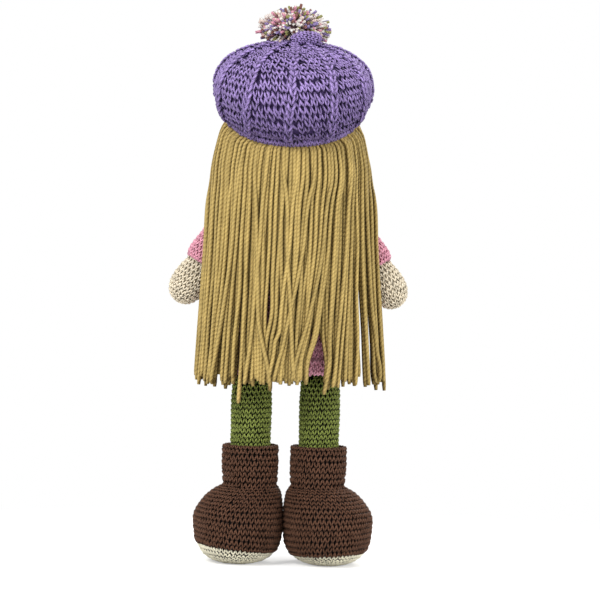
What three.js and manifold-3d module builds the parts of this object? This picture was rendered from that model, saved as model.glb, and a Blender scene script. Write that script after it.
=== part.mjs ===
// A standing crochet doll, about 35 cm tall: long yarn hair under a beret with a pompom, a sweater, leggings
// and round-toed boots. Crocheted shells are thin walls that are open where they are sewn on, and the stuffing
// inside each of them is a solid of its own. Millimetres, +Z up. The doll faces -Y, and its left side is +X.
// The origin is on the floor, under the middle of the doll's bounding box.

import * as THREE from "three";
import { mergeVertices } from "three/addons/utils/BufferGeometryUtils.js";
import Module from "manifold-3d";

const wasm = await Module();
wasm.setup();

const LEFT = 1;
const RIGHT = -1;
const SIDES = { left: LEFT, right: RIGHT };
const degrees = THREE.MathUtils.degToRad;
const mix = THREE.MathUtils.lerp;
const fullTurn = 360;

// How far the middle of a flat facet lies inside the circle that it stands for.
const sagOf = (radius, turn) => radius * (1 - Math.cos(degrees(turn) / 2));

// Cloth
const wall = 2.6; // crocheted fabric, one stitch thick
const seamGap = 0.35; // between two pieces that are sewn or laid together
const cutOverrun = 2; // how far a cutting tool runs past what it cuts
const mergeTolerance = 1e-4; // points closer than this are one point

// Boots
const footHalfWidth = 27.7;
const footHalfLength = 36.8;
const ankleHeight = 49;
const soleHeight = 12;
const footOutset = 6.7; // from the leg's axis out to the foot's middle, so that the feet just clear each other
const footForward = 6; // and in front of it
const shaftRadius = 17.2;
const shaftHeight = 26;
const rimHeight = 5.5;
const rimRoll = 0.4; // how far the rim stands proud of the shaft
const insoleThickness = 1.2;
// Foot outline from the floor to the ankle, in shares: height, half width, half length, and how far the middle
// has moved from the foot's own middle to the leg's axis.
const soleShares = [
  [0, 0.42, 0.55, 0],
  [0.04, 0.63, 0.72, 0],
  [0.12, 0.82, 0.875, 0],
];
const uppersShares = [
  [0.41, 0.99, 1, 0],
  [0.6, 1, 0.965, 0],
  [0.78, 0.905, 0.83, 0.3],
  [0.92, 0.76, 0.64, 0.7],
];
const solePlanShares = [0.94, 0.96]; // half width and half length where the sole meets the uppers

// Legs
const legRadius = 12.5;
const legSpacing = 21.5; // from the middle plane to each leg's axis
const leggingLength = 62.2; // from its lower edge inside the boot to the hip's axis
const legTopShares = [0, 0.5, 0.8, 0.96]; // heights on the rounded top, in shares of the leg's radius
const legTopWidthShare = 0.93;

// Torso
const torsoHeight = 112;
const torsoHalfWidth = 39;
const torsoHalfDepth = 29.5;
const shoulderShare = 0.9; // the shoulders' height, as a share of the torso's
// Torso outline, in shares: height, half width, half depth
const torsoShares = [
  [0, 0.955, 0.965],
  [0.09, 1, 1],
  [0.25, 1, 1],
  [0.45, 0.945, 0.945],
  [0.62, 0.845, 0.85],
  [0.76, 0.745, 0.745],
  [0.875, 0.665, 0.66],
  [0.945, 0.6, 0.62],
  [0.985, 0.5, 0.58],
];
const hemHeight = 10;
const hemWall = 2.2;
const hemFlare = 1;
const seatThickness = 2.6;

// Neck
const neckRadius = 13;
const neckLength = 21;
const neckInTorso = 11;
const neckWall = 2.4;
const dowelRadius = 4.5;
const dowelInTorso = 55;
const dowelInHead = 45;
const dowelGap = 0.4;

// Arms
const shoulderReach = 35; // from the middle plane to the shoulder's pivot
const armSplay = 31; // degrees from hanging straight down
const armRadius = 10.5;
const sleeveLength = 40;
const handLength = 27.5;
const handRadius = 11;
const wristRadius = 9.4;
const sleeveShares = [
  [-0.95, 0.31],
  [-0.7, 0.71],
  [-0.35, 0.93],
];
const handShares = [
  [0.3, 1],
  [0.65, 1],
  [0.88, 0.72],
];

// Head
const headHalfWidth = 35;
const headHalfDepth = 34;
const headHalfHeight = 35;
const jawShare = 0.7; // how far the jaw lies below the widest level, as a share of the half height
const highestShare = 0.96; // height of the head's last ring below its top, as a share of its half height
const eyeRadius = 4.2;
const eyeDepth = 3.2;
// Eye outline, in shares: height of its depth, and radius of its radius
const eyeShares = [
  [0, 1],
  [0.5, 0.86],
  [0.87, 0.5],
];
const eyeSpread = 22; // degrees each side of straight ahead
const eyeDrop = 4; // degrees below the head's widest level
const shankRadius = 1.7;
const shankLength = 7;
const washerRadius = 5;
const washerThickness = 1.2;
const noseRadius = 3.2;
// Nose outline, in shares of its radius: height over the face, and radius
const noseShares = [
  [0, 0.85],
  [0.45, 1],
  [0.9, 0.68],
];
const noseTipShare = 1.15;
const noseWidthShare = 1.15;
const noseDrop = 13;
const mouthDrop = 27;
const mouthHalfAngle = 11;
const mouthSag = 4;
const mouthYarnRadius = 0.7;
const mouthPoints = 5;

// Hair
const capWall = 1.7;
const capLean = 38; // degrees that the wig cap is turned back from the crown
const capReach = 82; // degrees from its middle to its edge
const hairDepth = 3; // strands over the wig cap under the beret
const curtainDepth = 6.2; // strands hanging free
const hairGap = 0.5;
const hairLength = 188; // from the crown to the mean lower edge
const hairHalfWidth = 60; // at the lower edge
const hairHalfDepth = 26.5;
const curtainSetback = 13.5; // how far behind the middle the curtain's side edges hang, clear of the arms
const hairFullness = 5; // how much fuller the fall is over the shoulders than at its lower edge
const raggedness = 4; // how far the strands' ends differ
const raggedStep = 3.7; // radians of its wave from one column of points to the next
const fluteDepth = 1.3;
const backLocks = 10;
const sideLocks = 6;
const backHalfAngle = 42;
const crownAngle = 14; // from the crown to the hair's first row
// Half the angle that the hair goes round the back, in degrees: under the beret, in the rows from the band to
// the nape, at the jaw, and below the shoulders
const overReach = 130;
const napeReaches = [124, 116, 110];
const jawReach = 101;
const fallReach = 90;
// The rows from the band to the nape, in shares: of the head's half height down from the band, of the widening
// from the head to the lower edge, of the head's depth, of the thickening to the free strands, of the band's
// setback, and of its dip
const napeShares = [
  [0.14, 0.11, 1, 0.6, 0.4, 0.78],
  [0.48, 0.4, 1.09, 0.8, 0.2, 0.5],
  [0.8, 0.48, 1.14, 1, 0, 0.25],
];
// The row at the jaw, in shares: of that widening, of the flattening from the nape to the lower edge, and of
// the setback
const jawShares = [0.53, 0.28, 0.35];
// The rows from the shoulders to the lower edge, in shares: of the way down, of the widening, and of the
// fullness
const fallShares = [
  [0, 0.58, 1],
  [0.3, 0.68, 0.8],
  [0.65, 0.86, 0.4],
  [1, 1, 0],
];

// Beret
const beretLean = 25; // degrees that the band's axis leans towards the back
const crownUpright = 20; // degrees that the crown straightens up again from the band to its top
const beretSeat = 16.5; // from the head's middle to the band's lower edge, along that axis
const beretPuff = 8.4; // how far the crown swells out beyond the band
const beretHeight = 50.5;
const beretWall = 2.8;
const bandWall = 2.4;
const beretEase = 0.35; // between the hair and the band
const bandHeight = 4;
const beretPanels = 11;
const panelDepth = 0.7; // of the creases between the raised middles of the panels
// Crown outline above the band. Lower part: share of its height, and share of its swelling beyond the band.
const swellShares = [
  [0, 0],
  [0.05, 0.45],
  [0.15, 0.82],
  [0.3, 1],
];
// Upper part: share of its height, and share of its full radius
const domeShares = [
  [0.5, 0.985],
  [0.69, 0.89],
  [0.85, 0.69],
  [0.96, 0.38],
];
const tabRadius = 3.4;
const tabLength = 15;
// The tab's middle line behind the crown's middle: across and back in shares of its length, and up in shares of
// its radius
const tabShares = [
  [0.1, 0.68, -0.9],
  [-0.15, 0.78, -0.3],
  [-0.5, 0.82, 0],
  [-0.85, 0.78, -0.15],
  [-1.1, 0.68, -0.5],
];
const pompomHalfWidth = 21.5;
const pompomHalfHeight = 15;
const pompomForward = 10;
const pompomSeat = 8.3; // its middle above the crown's top
const pompomBump = 1.1;
const pompomBumps = 7; // round its girth
const pompomTilts = [-70, -45, -18, 10, 38, 66]; // degrees above its middle

// How finely round shapes are faceted
const bodySides = 20;
const limbSides = 14;
const smallSides = 8;
const panelSides = 4; // facets across each of the beret's panels
const headSteps = 9; // rows of facets from the neck to the head's top
const mouthSteps = 6;
const tabSteps = 8;
const capSteps = 6; // rows of facets from the wig cap's middle to its edge

// Heights that follow from the sizes above
const hipHeight = ankleHeight - wall - seamGap + leggingLength;
const torsoBottom = hipHeight + legRadius + seamGap;
const shoulderHeight = torsoBottom + torsoHeight * shoulderShare;
const neckTop = torsoBottom + torsoHeight;
const neckOpening = neckRadius + seamGap;
const headCentre =
  neckTop + seamGap + headHalfHeight * Math.sqrt(1 - ((neckOpening + wall) / headHalfDepth) ** 2);

// The wig cap's inner face above the head's surface
const facetSag = sagOf(headHalfWidth, fullTurn / bodySides);
const capUnder = seamGap + facetSag + sagOf(headHalfWidth, capReach / capSteps);

// The hair's rows over the head, in degrees from the beret's axis, and its two faces there above the head's
// surface
const overAngles = [crownAngle, 26.5, 39, 51.5];
const rowSag = sagOf(headHalfWidth + capWall, overAngles[1] - overAngles[0]);
const hairUnder = capUnder + capWall + hairGap + rowSag;
const hairOver = hairUnder + hairDepth;

const bandAngle = THREE.MathUtils.radToDeg(Math.acos((beretSeat - seamGap) / (headHalfWidth + hairOver)));
const bandInnerRadius = Math.sqrt((headHalfWidth + hairOver) ** 2 - beretSeat ** 2) + beretEase;
const bandRadius = bandInnerRadius + bandWall;
const beretRadius = bandRadius + beretPuff;

// Fabrics and other materials, by name
const colours = {
  lilac: 0x8468b4,
  skin: 0xe2cfae,
  pink: 0xd9749f,
  green: 0x5f8340,
  brown: 0x4a2f24,
  cream: 0xd9d2b4,
  blond: 0xbfa262,
  multicolour: 0xb59a9e,
  fibre: 0xf2f0ea,
  black: 0x0c0c0e,
  white: 0xe8e8e6,
  wood: 0xc39a62,
  board: 0xd8d4cc,
};
const cloth = (color) => new THREE.MeshStandardMaterial({ color, roughness: 0.95, metalness: 0 });
const materials = Object.fromEntries(Object.entries(colours).map(([name, color]) => [name, cloth(color)]));
materials.black.roughness = 0.12;
materials.white.roughness = 0.4;
materials.wood.roughness = 0.6;

// Closed bodies from rings of points

// A level oval ring round (x, y) at height z. swell(angle) may change the radius point by point.
function oval(sides, x, y, z, halfWidth, halfDepth, swell = () => 0) {
  return Array.from({ length: sides }, (_, i) => {
    const angle = (2 * Math.PI * i) / sides;
    const more = swell(angle);
    return new THREE.Vector3(
      x + (halfWidth + more) * Math.cos(angle),
      y + (halfDepth + more) * Math.sin(angle),
      z,
    );
  });
}

// Turns every face of a closed geometry outwards.
function facingOut(geometry) {
  const p = geometry.attributes.position;
  const index = geometry.index.array;
  const [a, b, c] = [new THREE.Vector3(), new THREE.Vector3(), new THREE.Vector3()];
  let volume = 0;
  for (let i = 0; i < index.length; i += 3) {
    a.fromBufferAttribute(p, index[i]);
    b.fromBufferAttribute(p, index[i + 1]);
    c.fromBufferAttribute(p, index[i + 2]);
    volume += a.dot(b.cross(c));
  }
  if (volume < 0) {
    for (let i = 0; i < index.length; i += 3) {
      [index[i + 1], index[i + 2]] = [index[i + 2], index[i + 1]];
    }
  }
  geometry.computeVertexNormals();
  return geometry;
}

function geometryOf(points, faces) {
  const geometry = new THREE.BufferGeometry().setFromPoints(points);
  geometry.setIndex(faces);
  return facingOut(geometry);
}

// Joins rings of equally many points into one closed body. The two ends get lids with their middles at tips,
// and in a loop the last ring is joined to the first instead.
function bodyOfRings(rings, { loop = false, tips = [] } = {}) {
  const sides = rings[0].length;
  const points = rings.flat();
  const faces = [];
  const bands = loop ? rings.length : rings.length - 1;
  for (let band = 0; band < bands; band++) {
    const low = band * sides;
    const high = ((band + 1) % rings.length) * sides;
    for (let i = 0; i < sides; i++) {
      const next = (i + 1) % sides;
      faces.push(low + i, low + next, high + i, low + next, high + next, high + i);
    }
  }
  if (!loop) {
    [0, rings.length - 1].forEach((at, end) => {
      const middle = rings[at].reduce((sum, p) => sum.add(p), new THREE.Vector3()).divideScalar(sides);
      const tip = points.push(tips[end] ?? middle) - 1;
      for (let i = 0; i < sides; i++) {
        const [from, to] = [at * sides + i, at * sides + ((i + 1) % sides)];
        faces.push(...(end ? [from, to, tip] : [to, from, tip]));
      }
    });
  }
  return geometryOf(points, faces);
}

// Sections are [z, half width, half depth, x, y], from one end to the other.
function ringsOf(sections, sides, swell) {
  return sections.map(([z, halfWidth, halfDepth, x = 0, y = 0]) => {
    return oval(sides, x, y, z, halfWidth, halfDepth, swell);
  });
}

// The sections of a surface that lies inside another by some millimetres. Sections run from an open edge,
// which stays at its height, to a closed end whose middle is at height tip, or to another open edge.
function inset(sections, by, tip) {
  const upwards = Math.sign(sections.at(-1)[0] - sections[0][0]);
  const outline = sections.map(([z, halfWidth, halfDepth]) => {
    return new THREE.Vector2((halfWidth + halfDepth) / 2, z);
  });
  if (tip !== undefined) {
    outline.push(new THREE.Vector2(0, tip));
  }
  const inner = sections.map(([z, halfWidth, halfDepth, ...middle], i) => {
    const before = outline[i - 1];
    const after = outline[i + 1];
    if (!before || !after) {
      return [z, halfWidth - by, halfDepth - by, ...middle];
    }
    const along = after.clone().sub(before).normalize().multiplyScalar(upwards * by);
    return [z + along.x, halfWidth - along.y, halfDepth - along.y, ...middle];
  });
  return inner.filter(([, halfWidth, halfDepth]) => halfWidth > 0 && halfDepth > 0);
}

// The part of some rising sections between two heights, with new sections at those heights.
function between(sections, low, high) {
  const at = (z) => {
    const above = sections.findIndex(([height]) => height >= z);
    const [under, over] = [sections[above - 1], sections[above]];
    const share = (z - under[0]) / (over[0] - under[0]);
    return [0, 1, 2, 3, 4].map((i) => mix(under[i] ?? 0, over[i] ?? 0, share));
  };
  const inside = sections.filter(([z]) => z > low && z < high);
  const ends = [low, high].map((z) => (z > sections[0][0] && z < sections.at(-1)[0] ? [at(z)] : []));
  return [...ends[0], ...inside, ...ends[1]];
}

// A fabric tube that is open at both ends.
function openShell(sections, thickness, sides, swell) {
  const outer = ringsOf(sections, sides, swell);
  const inner = ringsOf(inset(sections, thickness), sides, swell);
  return bodyOfRings([...outer, ...inner.reverse()], { loop: true });
}

// A cup between an outer and an inner surface, both from the open edge to the closed end's middle at a tip.
function cup(outer, outerTip, inner, innerTip, sides, swell) {
  const [, , , x = 0, y = 0] = outer.at(-1);
  return bodyOfRings([...ringsOf(inner, sides, swell).reverse(), ...ringsOf(outer, sides, swell)], {
    tips: [new THREE.Vector3(x, y, innerTip), new THREE.Vector3(x, y, outerTip)],
  });
}

// A fabric cup: sections run from its open edge to its closed end, whose middle is at height tip.
function cupShell(sections, tip, thickness, sides, swell) {
  const innerTip = tip + Math.sign(sections[0][0] - tip) * thickness;
  return cup(sections, tip, inset(sections, thickness, tip), innerTip, sides, swell);
}

// A solid from sections, with lids or rounded tips.
function filled(sections, sides, tipHeights = []) {
  const ends = [sections[0], sections.at(-1)];
  const tips = tipHeights.map((z, i) => new THREE.Vector3(ends[i][3] ?? 0, ends[i][4] ?? 0, z));
  return bodyOfRings(ringsOf(sections, sides), { tips });
}

// A ring of rectangular section round an oval.
function hoop(low, high, halfWidth, halfDepth, thickness, sides, middle = []) {
  return openShell(
    [low, high].map((z) => [z, halfWidth + thickness, halfDepth + thickness, ...middle]),
    thickness,
    sides,
  );
}

// A slab between two grids of points, rows by columns, that are everywhere some way apart.
function slab(outer, inner) {
  const rows = outer.length;
  const columns = outer[0].length;
  const points = [...outer.flat(), ...inner.flat()];
  const at = (row, column, side) => (side * rows + row) * columns + column;
  const faces = [];
  const quad = (a, b, c, d) => faces.push(a, b, c, a, c, d);
  for (let r = 0; r < rows - 1; r++) {
    for (let c = 0; c < columns - 1; c++) {
      quad(at(r, c, 0), at(r, c + 1, 0), at(r + 1, c + 1, 0), at(r + 1, c, 0));
      quad(at(r, c, 1), at(r + 1, c, 1), at(r + 1, c + 1, 1), at(r, c + 1, 1));
    }
    quad(at(r, 0, 0), at(r + 1, 0, 0), at(r + 1, 0, 1), at(r, 0, 1));
    const last = columns - 1;
    quad(at(r, last, 0), at(r, last, 1), at(r + 1, last, 1), at(r + 1, last, 0));
  }
  for (let c = 0; c < columns - 1; c++) {
    quad(at(0, c, 0), at(0, c, 1), at(0, c + 1, 1), at(0, c + 1, 0));
    quad(at(rows - 1, c, 0), at(rows - 1, c + 1, 0), at(rows - 1, c + 1, 1), at(rows - 1, c, 1));
  }
  return geometryOf(points, faces);
}

// Cutting one closed body with another

function solidOf(geometry) {
  const bare = new THREE.BufferGeometry().setAttribute("position", geometry.attributes.position.clone());
  if (geometry.index) {
    bare.setIndex(geometry.index.clone());
  }
  const merged = mergeVertices(bare, mergeTolerance);
  return new wasm.Manifold(
    new wasm.Mesh({
      numProp: 3,
      vertProperties: merged.attributes.position.array,
      triVerts: new Uint32Array(merged.index.array),
    }),
  );
}

function cut(geometry, ...tools) {
  const left = tools.reduce((solid, tool) => solid.subtract(solidOf(tool)), solidOf(geometry));
  const mesh = left.getMesh();
  const result = new THREE.BufferGeometry();
  result.setAttribute("position", new THREE.BufferAttribute(mesh.vertProperties, 3));
  result.setIndex(new THREE.BufferAttribute(mesh.triVerts, 1));
  result.computeVertexNormals();
  return result;
}

// A geometry given in the doll's frame, as seen from inside a group.
function seenFrom(group, geometry) {
  group.updateWorldMatrix(true, false);
  return geometry.clone().applyMatrix4(group.matrixWorld.clone().invert());
}

// A round bar along +Z from low to high.
function bar(radius, low, high, sides) {
  return new THREE.CylinderGeometry(radius, radius, high - low, sides)
    .rotateX(Math.PI / 2)
    .translate(0, 0, (low + high) / 2);
}

// A round rod along a smooth line through some points.
function rod(points, radius, steps) {
  const section = new THREE.Shape().absarc(0, 0, radius, 0, 2 * Math.PI);
  return new THREE.ExtrudeGeometry(section, {
    steps,
    curveSegments: smallSides / 2,
    extrudePath: new THREE.CatmullRomCurve3(points),
  });
}

const doll = new THREE.Group();

function add(parent, name, geometry, material) {
  const mesh = new THREE.Mesh(geometry, materials[material]);
  mesh.name = name;
  parent.add(mesh);
  return mesh;
}

function groupAt(parent, x, y, z) {
  const group = new THREE.Group();
  group.position.set(x, y, z);
  parent.add(group);
  return group;
}

// Torso

const torsoSections = torsoShares.map(([height, width, depth]) => [
  torsoBottom + torsoHeight * height,
  torsoHalfWidth * width,
  torsoHalfDepth * depth,
]);
torsoSections.push([neckTop, neckOpening + wall, neckOpening + wall]);

const dowelBottom = neckTop - dowelInTorso;
const dowelTop = neckTop + dowelInHead;
const dowelHole = bar(dowelRadius + dowelGap, dowelBottom - dowelGap, dowelTop + dowelGap, smallSides);

function makeTorso() {
  const torso = groupAt(doll, 0, 0, 0);
  add(torso, "sweater_body", openShell(torsoSections, wall, bodySides), "pink");

  const [, bottomWidth, bottomDepth] = torsoSections[0];
  const hemTop = torsoBottom + hemHeight;
  const hemSections = [
    [torsoBottom, bottomWidth + hemFlare],
    [mix(torsoBottom, hemTop, 0.5), torsoHalfWidth],
    [hemTop, torsoHalfWidth],
  ].map(([z, halfWidth]) => {
    const outside = seamGap + hemWall;
    return [z, halfWidth + outside, halfWidth - bottomWidth + bottomDepth + outside];
  });
  add(torso, "sweater_hem", openShell(hemSections, hemWall, bodySides), "pink");

  const [, ...seatHalf] = inset(torsoSections, wall + seamGap)[0];
  const seat = [torsoBottom, torsoBottom + seatThickness].map((z) => [z, ...seatHalf]);
  add(torso, "trouser_seat", filled(seat, bodySides), "green");

  const fillBottom = torsoBottom + seatThickness + seamGap;
  const fillTop = neckTop - neckInTorso - seamGap;
  const fill = filled(between(inset(torsoSections, wall + seamGap), fillBottom, fillTop), bodySides);
  add(torso, "torso_stuffing", cut(fill, dowelHole), "fibre");

  const neckBottom = neckTop - neckInTorso;
  const neckSections = [neckBottom, neckBottom + neckLength].map((z) => [z, neckRadius, neckRadius]);
  add(torso, "neck_tube", openShell(neckSections, neckWall, limbSides), "skin");
  add(torso, "neck_dowel", bar(dowelRadius, dowelBottom, dowelTop, smallSides), "wood");
}

// Head

// The point of the head's surface, grown by some millimetres, that lies in a direction.
function onHead(direction, grown = 0) {
  return new THREE.Vector3(
    (headHalfWidth + grown) * direction.x,
    (headHalfDepth + grown) * direction.y,
    headCentre + (headHalfHeight + grown) * direction.z,
  );
}

// A direction by its angle from straight ahead, towards the doll's left, and its drop below level.
function facing(turn, drop) {
  const [a, b] = [degrees(turn), degrees(drop)];
  return new THREE.Vector3(Math.sin(a) * Math.cos(b), -Math.cos(a) * Math.cos(b), -Math.sin(b));
}

// The way straight out of the head's surface at a direction.
function outOfHead(direction) {
  return new THREE.Vector3(
    direction.x / headHalfWidth,
    direction.y / headHalfDepth,
    direction.z / headHalfHeight,
  ).normalize();
}

// Head sections between two heights, from the lower to the upper.
function headSections(low, high, steps) {
  const angles = [low, high].map((z) => Math.asin((z - headCentre) / headHalfHeight));
  return Array.from({ length: steps + 1 }, (_, i) => {
    const angle = mix(...angles, i / steps);
    const round = Math.cos(angle);
    return [headCentre + headHalfHeight * Math.sin(angle), headHalfWidth * round, headHalfDepth * round];
  });
}

// A group that stands on the head's surface with its +Z pointing out.
function onFace(parent, direction, grown) {
  const group = groupAt(parent, 0, 0, 0);
  group.position.copy(onHead(direction, grown));
  group.quaternion.setFromUnitVectors(new THREE.Vector3(0, 0, 1), outOfHead(direction));
  return group;
}

function makeHead() {
  const head = groupAt(doll, 0, 0, 0);
  const sections = headSections(neckTop + seamGap, headCentre + headHalfHeight * highestShare, headSteps);
  const top = headCentre + headHalfHeight;
  let shell = cupShell(sections, top, wall, bodySides);

  const fillLow = neckTop - neckInTorso + neckLength + seamGap;
  const fill = between(inset(sections, wall + seamGap, top), fillLow, top);
  let stuffing = filled(fill, bodySides, [fillLow, top - wall - seamGap]);
  const cuts = [dowelHole];

  const holes = [];
  for (const [side, sign] of Object.entries(SIDES)) {
    const direction = facing(eyeSpread * sign, eyeDrop);
    const eye = onFace(head, direction, seamGap);
    const dome = eyeShares.map(([out, round]) => [eyeDepth * out, eyeRadius * round, eyeRadius * round]);
    const shank = [-shankLength, -seamGap].map((z) => [z, shankRadius, shankRadius]);
    const eyeTips = [-shankLength, eyeDepth];
    add(eye, `eye_${side}`, filled([...shank, ...dome], smallSides, eyeTips), "black");
    const washerHigh = -(wall + 2 * seamGap + facetSag + roundSag(washerRadius));
    const washerLow = washerHigh - washerThickness;
    const washer = hoop(
      washerLow,
      washerHigh,
      shankRadius + seamGap,
      shankRadius + seamGap,
      washerRadius - shankRadius - seamGap,
      smallSides,
    );
    add(eye, `eye_washer_${side}`, washer, "white");
    eye.updateWorldMatrix(true, false);
    const inPlace = (tool) => tool.applyMatrix4(eye.matrixWorld);
    holes.push(inPlace(bar(shankRadius + seamGap, -shankLength - cutOverrun, eyeDepth, smallSides)));
    cuts.push(
      inPlace(bar(washerRadius + seamGap, washerLow - seamGap, eyeDepth, smallSides)),
      inPlace(bar(shankRadius + seamGap, -shankLength - seamGap, 0, smallSides)),
    );
  }
  shell = cut(shell, ...holes);
  stuffing = cut(stuffing, ...cuts);
  add(head, "head_shell", shell, "skin");
  add(head, "head_stuffing", stuffing, "fibre");

  const nose = onFace(head, facing(0, noseDrop), seamGap);
  const bobble = noseShares.map(([height, round]) => {
    const radius = noseRadius * round;
    return [noseRadius * height, radius * noseWidthShare, radius];
  });
  add(nose, "nose", filled(bobble, smallSides, [0, noseRadius * noseTipShare]), "skin");

  const smile = Array.from({ length: mouthPoints }, (_, i) => {
    const across = (2 * i) / (mouthPoints - 1) - 1;
    const direction = facing(mouthHalfAngle * across, mouthDrop - mouthSag * across ** 2);
    return onHead(direction, mouthYarnRadius + seamGap);
  });
  add(head, "mouth_stitch", rod(smile, mouthYarnRadius, mouthSteps), "pink");

  makeWig(head);
}

// How far the head's surface has fallen away at a distance from the point that a flat disc touches.
function roundSag(distance) {
  return headHalfWidth - Math.sqrt(headHalfWidth ** 2 - distance ** 2);
}

// Hair

// The wig cap is a patch of the head's surface round an axis that leans back from the crown.
function capRings(grown) {
  const lean = new THREE.Quaternion().setFromAxisAngle(new THREE.Vector3(1, 0, 0), -degrees(capLean));
  return Array.from({ length: capSteps }, (_, i) => {
    const away = degrees((capReach * (i + 1)) / capSteps);
    return Array.from({ length: bodySides }, (_, k) => {
      const round = (2 * Math.PI * k) / bodySides;
      const direction = new THREE.Vector3(
        Math.sin(away) * Math.cos(round),
        Math.sin(away) * Math.sin(round),
        Math.cos(away),
      ).applyQuaternion(lean);
      return onHead(direction, grown);
    });
  });
}

function capTip(grown) {
  const lean = degrees(capLean);
  return onHead(new THREE.Vector3(0, Math.sin(lean), Math.cos(lean)), grown);
}

// Hair rows from the crown down. Each row is a curve round the back. outer and inner hold, for either face of
// the hair, its height, half width, half depth, how far back its middle lies, and its dip, which is how much
// lower it lies at the back than at the sides. reach is the angle from straight back to the row's front edge.
// Over the head the rows are circles round the beret's axis.
function hairRows() {
  const lean = degrees(beretLean);
  const round = (grown, away) => {
    const [up, out] = [Math.cos(degrees(away)), Math.sin(degrees(away))];
    return [
      headCentre + (headHalfHeight + grown) * up * Math.cos(lean),
      (headHalfWidth + grown) * out,
      (headHalfDepth + grown) * out * Math.cos(lean),
      (headHalfDepth + grown) * up * Math.sin(lean),
      (headHalfHeight + grown) * out * Math.sin(lean),
    ];
  };
  const overHead = [...overAngles, bandAngle].map((away) => ({
    outer: round(hairOver, away),
    inner: round(hairUnder, away),
    reach: overReach,
  }));
  const width = headHalfWidth + hairOver;
  const depth = headHalfDepth + hairOver;
  const hanging = (z, halfWidth, halfDepth, thickness, back, dip, reach) => ({
    outer: [z, halfWidth, halfDepth, back, dip],
    inner: [z, halfWidth - thickness, halfDepth - thickness, back, dip],
    reach,
  });
  const [atBand, , , bandBack, bandDip] = round(hairOver, bandAngle);
  const bottom = headCentre + headHalfHeight + hairOver - hairLength;
  const jaw = headCentre - headHalfHeight * jawShare;
  const shoulderTop = shoulderHeight + armRadius + hairGap;
  const down = (share) => mix(shoulderTop, bottom, share);
  const wide = (share) => mix(width, hairHalfWidth, share);
  const nape = napeShares.map(([lowering, widening, deepening, thickening, setting, dipping], i) => {
    const thickness = mix(hairDepth, curtainDepth, thickening);
    const z = atBand - headHalfHeight * lowering;
    const [back, dip] = [bandBack * setting, bandDip * dipping];
    return hanging(z, wide(widening), depth * deepening, thickness, back, dip, napeReaches[i]);
  });
  const napeDepth = depth * napeShares.at(-1)[2];
  const [jawWidening, flattening, setback] = jawShares;
  const jawDepth = mix(napeDepth, hairHalfDepth, flattening);
  const fall = fallShares.map(([downwards, widening, filling]) => {
    const halfDepth = hairHalfDepth + hairFullness * filling;
    return hanging(down(downwards), wide(widening), halfDepth, curtainDepth, curtainSetback, 0, fallReach);
  });
  return [
    ...overHead,
    ...nape,
    hanging(jaw, wide(jawWidening), jawDepth, curtainDepth, curtainSetback * setback, 0, jawReach),
    ...fall,
  ];
}

// A bunch of locks between two angles from straight back, where the front edge on the doll's left is at 90.
function hairBunch(from, to, locks) {
  const rows = hairRows();
  const columns = 2 * locks + 1;
  const grid = (face) =>
    rows.map((row, r) => {
      const [z, halfWidth, halfDepth, back, dip] = row[face];
      return Array.from({ length: columns }, (_, c) => {
        const angle = degrees((mix(from, to, c / (columns - 1)) * row.reach) / 90);
        const groove = face === "outer" && c % 2 === 0 ? fluteDepth : 0;
        const ragged = r === rows.length - 1 ? raggedness * Math.sin(raggedStep * c + from) : 0;
        return new THREE.Vector3(
          (halfWidth - groove) * Math.sin(angle),
          back + (halfDepth - groove) * Math.cos(angle),
          z - dip * Math.cos(angle) + ragged,
        );
      });
    });
  return slab(grid("outer"), grid("inner"));
}

function makeWig(head) {
  const outside = capUnder + capWall;
  const rings = [...capRings(capUnder), ...capRings(outside).reverse()];
  const tips = [capTip(capUnder), capTip(outside)];
  add(head, "wig_cap", bodyOfRings(rings, { tips }), "blond");

  const parting = hairGap / 2;
  const apart = THREE.MathUtils.radToDeg(parting / (headHalfWidth * Math.sin(degrees(crownAngle))));
  add(head, "hair_back", hairBunch(-backHalfAngle + apart, backHalfAngle - apart, backLocks), "blond");
  add(head, "hair_left", hairBunch(backHalfAngle + apart, 90, sideLocks), "blond");
  add(head, "hair_right", hairBunch(-90, -backHalfAngle - apart, sideLocks), "blond");
}

// Beret

// The crown's outline above the band, as sections from the band up.
function crownSections(grown = 0) {
  const low = bandHeight + seamGap;
  const outline = [
    ...swellShares.map(([height, share]) => [height, mix(bandRadius, beretRadius, share)]),
    ...domeShares.map(([height, share]) => [height, beretRadius * share]),
  ];
  return outline.map(([height, radius]) => {
    return [mix(low, beretHeight, height) + grown * height, radius + grown, radius + grown];
  });
}

// Straightens up what stands on the band: above the band, each level is turned further forward than the one
// below it, about lines across the doll.
function straightened(geometry) {
  const from = bandHeight + seamGap;
  const turn = degrees(crownUpright) / (beretHeight - from);
  const p = geometry.attributes.position;
  for (let i = 0; i < p.count; i++) {
    const angle = Math.max(0, p.getZ(i) - from) * turn;
    const y = p.getY(i) * Math.cos(angle) - (1 - Math.cos(angle)) / turn;
    const z = Math.min(p.getZ(i), from) + p.getY(i) * Math.sin(angle) + Math.sin(angle) / turn;
    p.setXYZ(i, p.getX(i), y, z);
  }
  geometry.computeVertexNormals();
  return geometry;
}

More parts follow.
